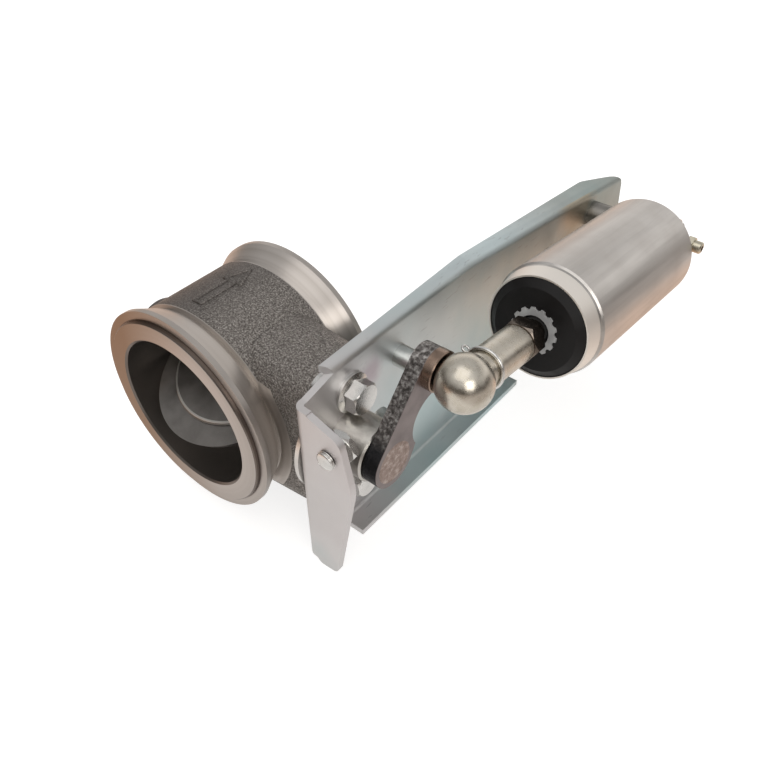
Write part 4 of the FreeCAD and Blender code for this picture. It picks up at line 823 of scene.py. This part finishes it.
# The cylinder: a drawn aluminium tube, with the rear eye block and the piston of the same metal.
# Drawing left streaks along it, which follow the rod's line.
TUBE_METAL = [(0.3, (0.5, 0.475, 0.45)), (0.7, (0.68, 0.655, 0.63))]
STREAK_GREY = (0.42, 0.4, 0.38)
STREAK_SHARE = [(0.45, 0.0), (0.7, 0.35)]
STREAK_STRETCH = (1.0, 0.05, 1.0)
STREAK_DEPTH = 0.01 * MM
TARNISH = (0.5, 0.46, 0.43)
TARNISH_SHARE = [(0.5, 0.0), (0.72, 0.35)]
DRAWN_GLOSS = [(0.3, 0.3), (0.7, 0.4)]
tube_paint, tree, shader, here = start_paint("drawn_aluminium", roughness=0.34, metallic=1.0)
rod_tilt = math.atan2(ROD_LINE.z, ROD_LINE.y)
drawn = add(tree, "ShaderNodeMapping", {"Vector": here, "Rotation": (-rod_tilt, 0.0, 0.0)}).outputs[0]
drawn = add(tree, "ShaderNodeMapping", {"Vector": drawn, "Scale": STREAK_STRETCH}).outputs[0]
streaks = mottle(tree, drawn, per_metre=420.0, detail=3.0)
cloud = mottle(tree, here, per_metre=45.0, detail=3.0)
broad = mottle(tree, drawn, per_metre=70.0, detail=3.0)
colour = grade(tree, broad, TUBE_METAL)
colour = blend(tree, grade(tree, streaks, STREAK_SHARE), colour, STREAK_GREY)
colour = blend(tree, grade(tree, cloud, TARNISH_SHARE), colour, TARNISH)

# The front lip was turned after drawing. It is painted pale and matt, a painted highlight for the bright
# light it mirrors. Its end is given along the rod's line, from the ball's middle.
BALL_MIDDLE = (101.2 * MM, 24.256 * MM, 33.142 * MM)
LIP_END = 62.6 * MM
LIP_PAINTED_HIGHLIGHT = (0.93, 0.88, 0.82)
LIP_GLOSS = (0.5, 0.5, 0.5)
from_ball, _ = round_axis(tree, here, BALL_MIDDLE, tuple(ROD_LINE))
on_lip = sums(tree, "LESS_THAN", from_ball, LIP_END)
feed(
    tree,
    shader,
    Base_Color=blend(tree, on_lip, colour, LIP_PAINTED_HIGHLIGHT),
    Roughness=blend(tree, on_lip, grade(tree, cloud, DRAWN_GLOSS), LIP_GLOSS),
    Normal=relief(tree, streaks, STREAK_DEPTH, strength=0.4),
)
dress(tube_paint, "aluminium", "cylinder_barrel", "rear_lug", "piston")

# The front cap and the piston's wear ring: black moulded plastic, matt, with little shine. The
# cap closes the tube's mouth and holds the rod's bush.
CAP_SHINE = 0.3
black = plain_metal(
    "black_cap",
    dark=(0.004, 0.0035, 0.0035),
    light=(0.008, 0.007, 0.007),
    roughness=0.46,
    metallic=0.0,
)
black.node_tree.nodes["Principled BSDF"].inputs["Specular IOR Level"].default_value = CAP_SHINE
dress(black, "black_plastic", "front_cap", "wear_ring")

# The seals: moulded rubber rings, pressed into their grooves. One wipes the rod, one closes the
# front cap against the tube, and one goes with the piston.
rubber = plain_metal(
    "seal_rubber",
    dark=(0.014, 0.014, 0.014),
    light=(0.028, 0.028, 0.028),
    roughness=0.6,
    metallic=0.0,
)
dress(rubber, "rubber", "rod_wiper", "cap_seal", "piston_seal")

# The springs: the coiled return spring in the tube and the ring that clips on the pivot stud,
# both of bare spring steel.
spring_paint = plain_metal(
    "spring_steel",
    dark=(0.4, 0.4, 0.39),
    light=(0.55, 0.55, 0.54),
    roughness=0.3,
)
dress(spring_paint, "spring_steel", "return_spring", "pivot_clip")

# The star ring: a toothed ring punched from thin steel, matt from the press, and pushed into the
# cap round the rod to keep the wiper in.
punched = plain_metal(
    "punched_ring",
    dark=(0.42, 0.42, 0.42),
    light=(0.58, 0.58, 0.57),
    roughness=0.4,
    metallic=0.35,
)
dress(punched, "spring_steel", "star_ring")

# The air fitting: a small brass nipple, nickel plated, screwed into the tube's rear. The air hose
# pushes on to it, and isn't part of the valve.
plated = plain_metal(
    "plated_brass",
    dark=(0.5, 0.46, 0.36),
    light=(0.62, 0.58, 0.48),
    roughness=0.25,
)
dress(plated, "brass_plated", "air_fitting")
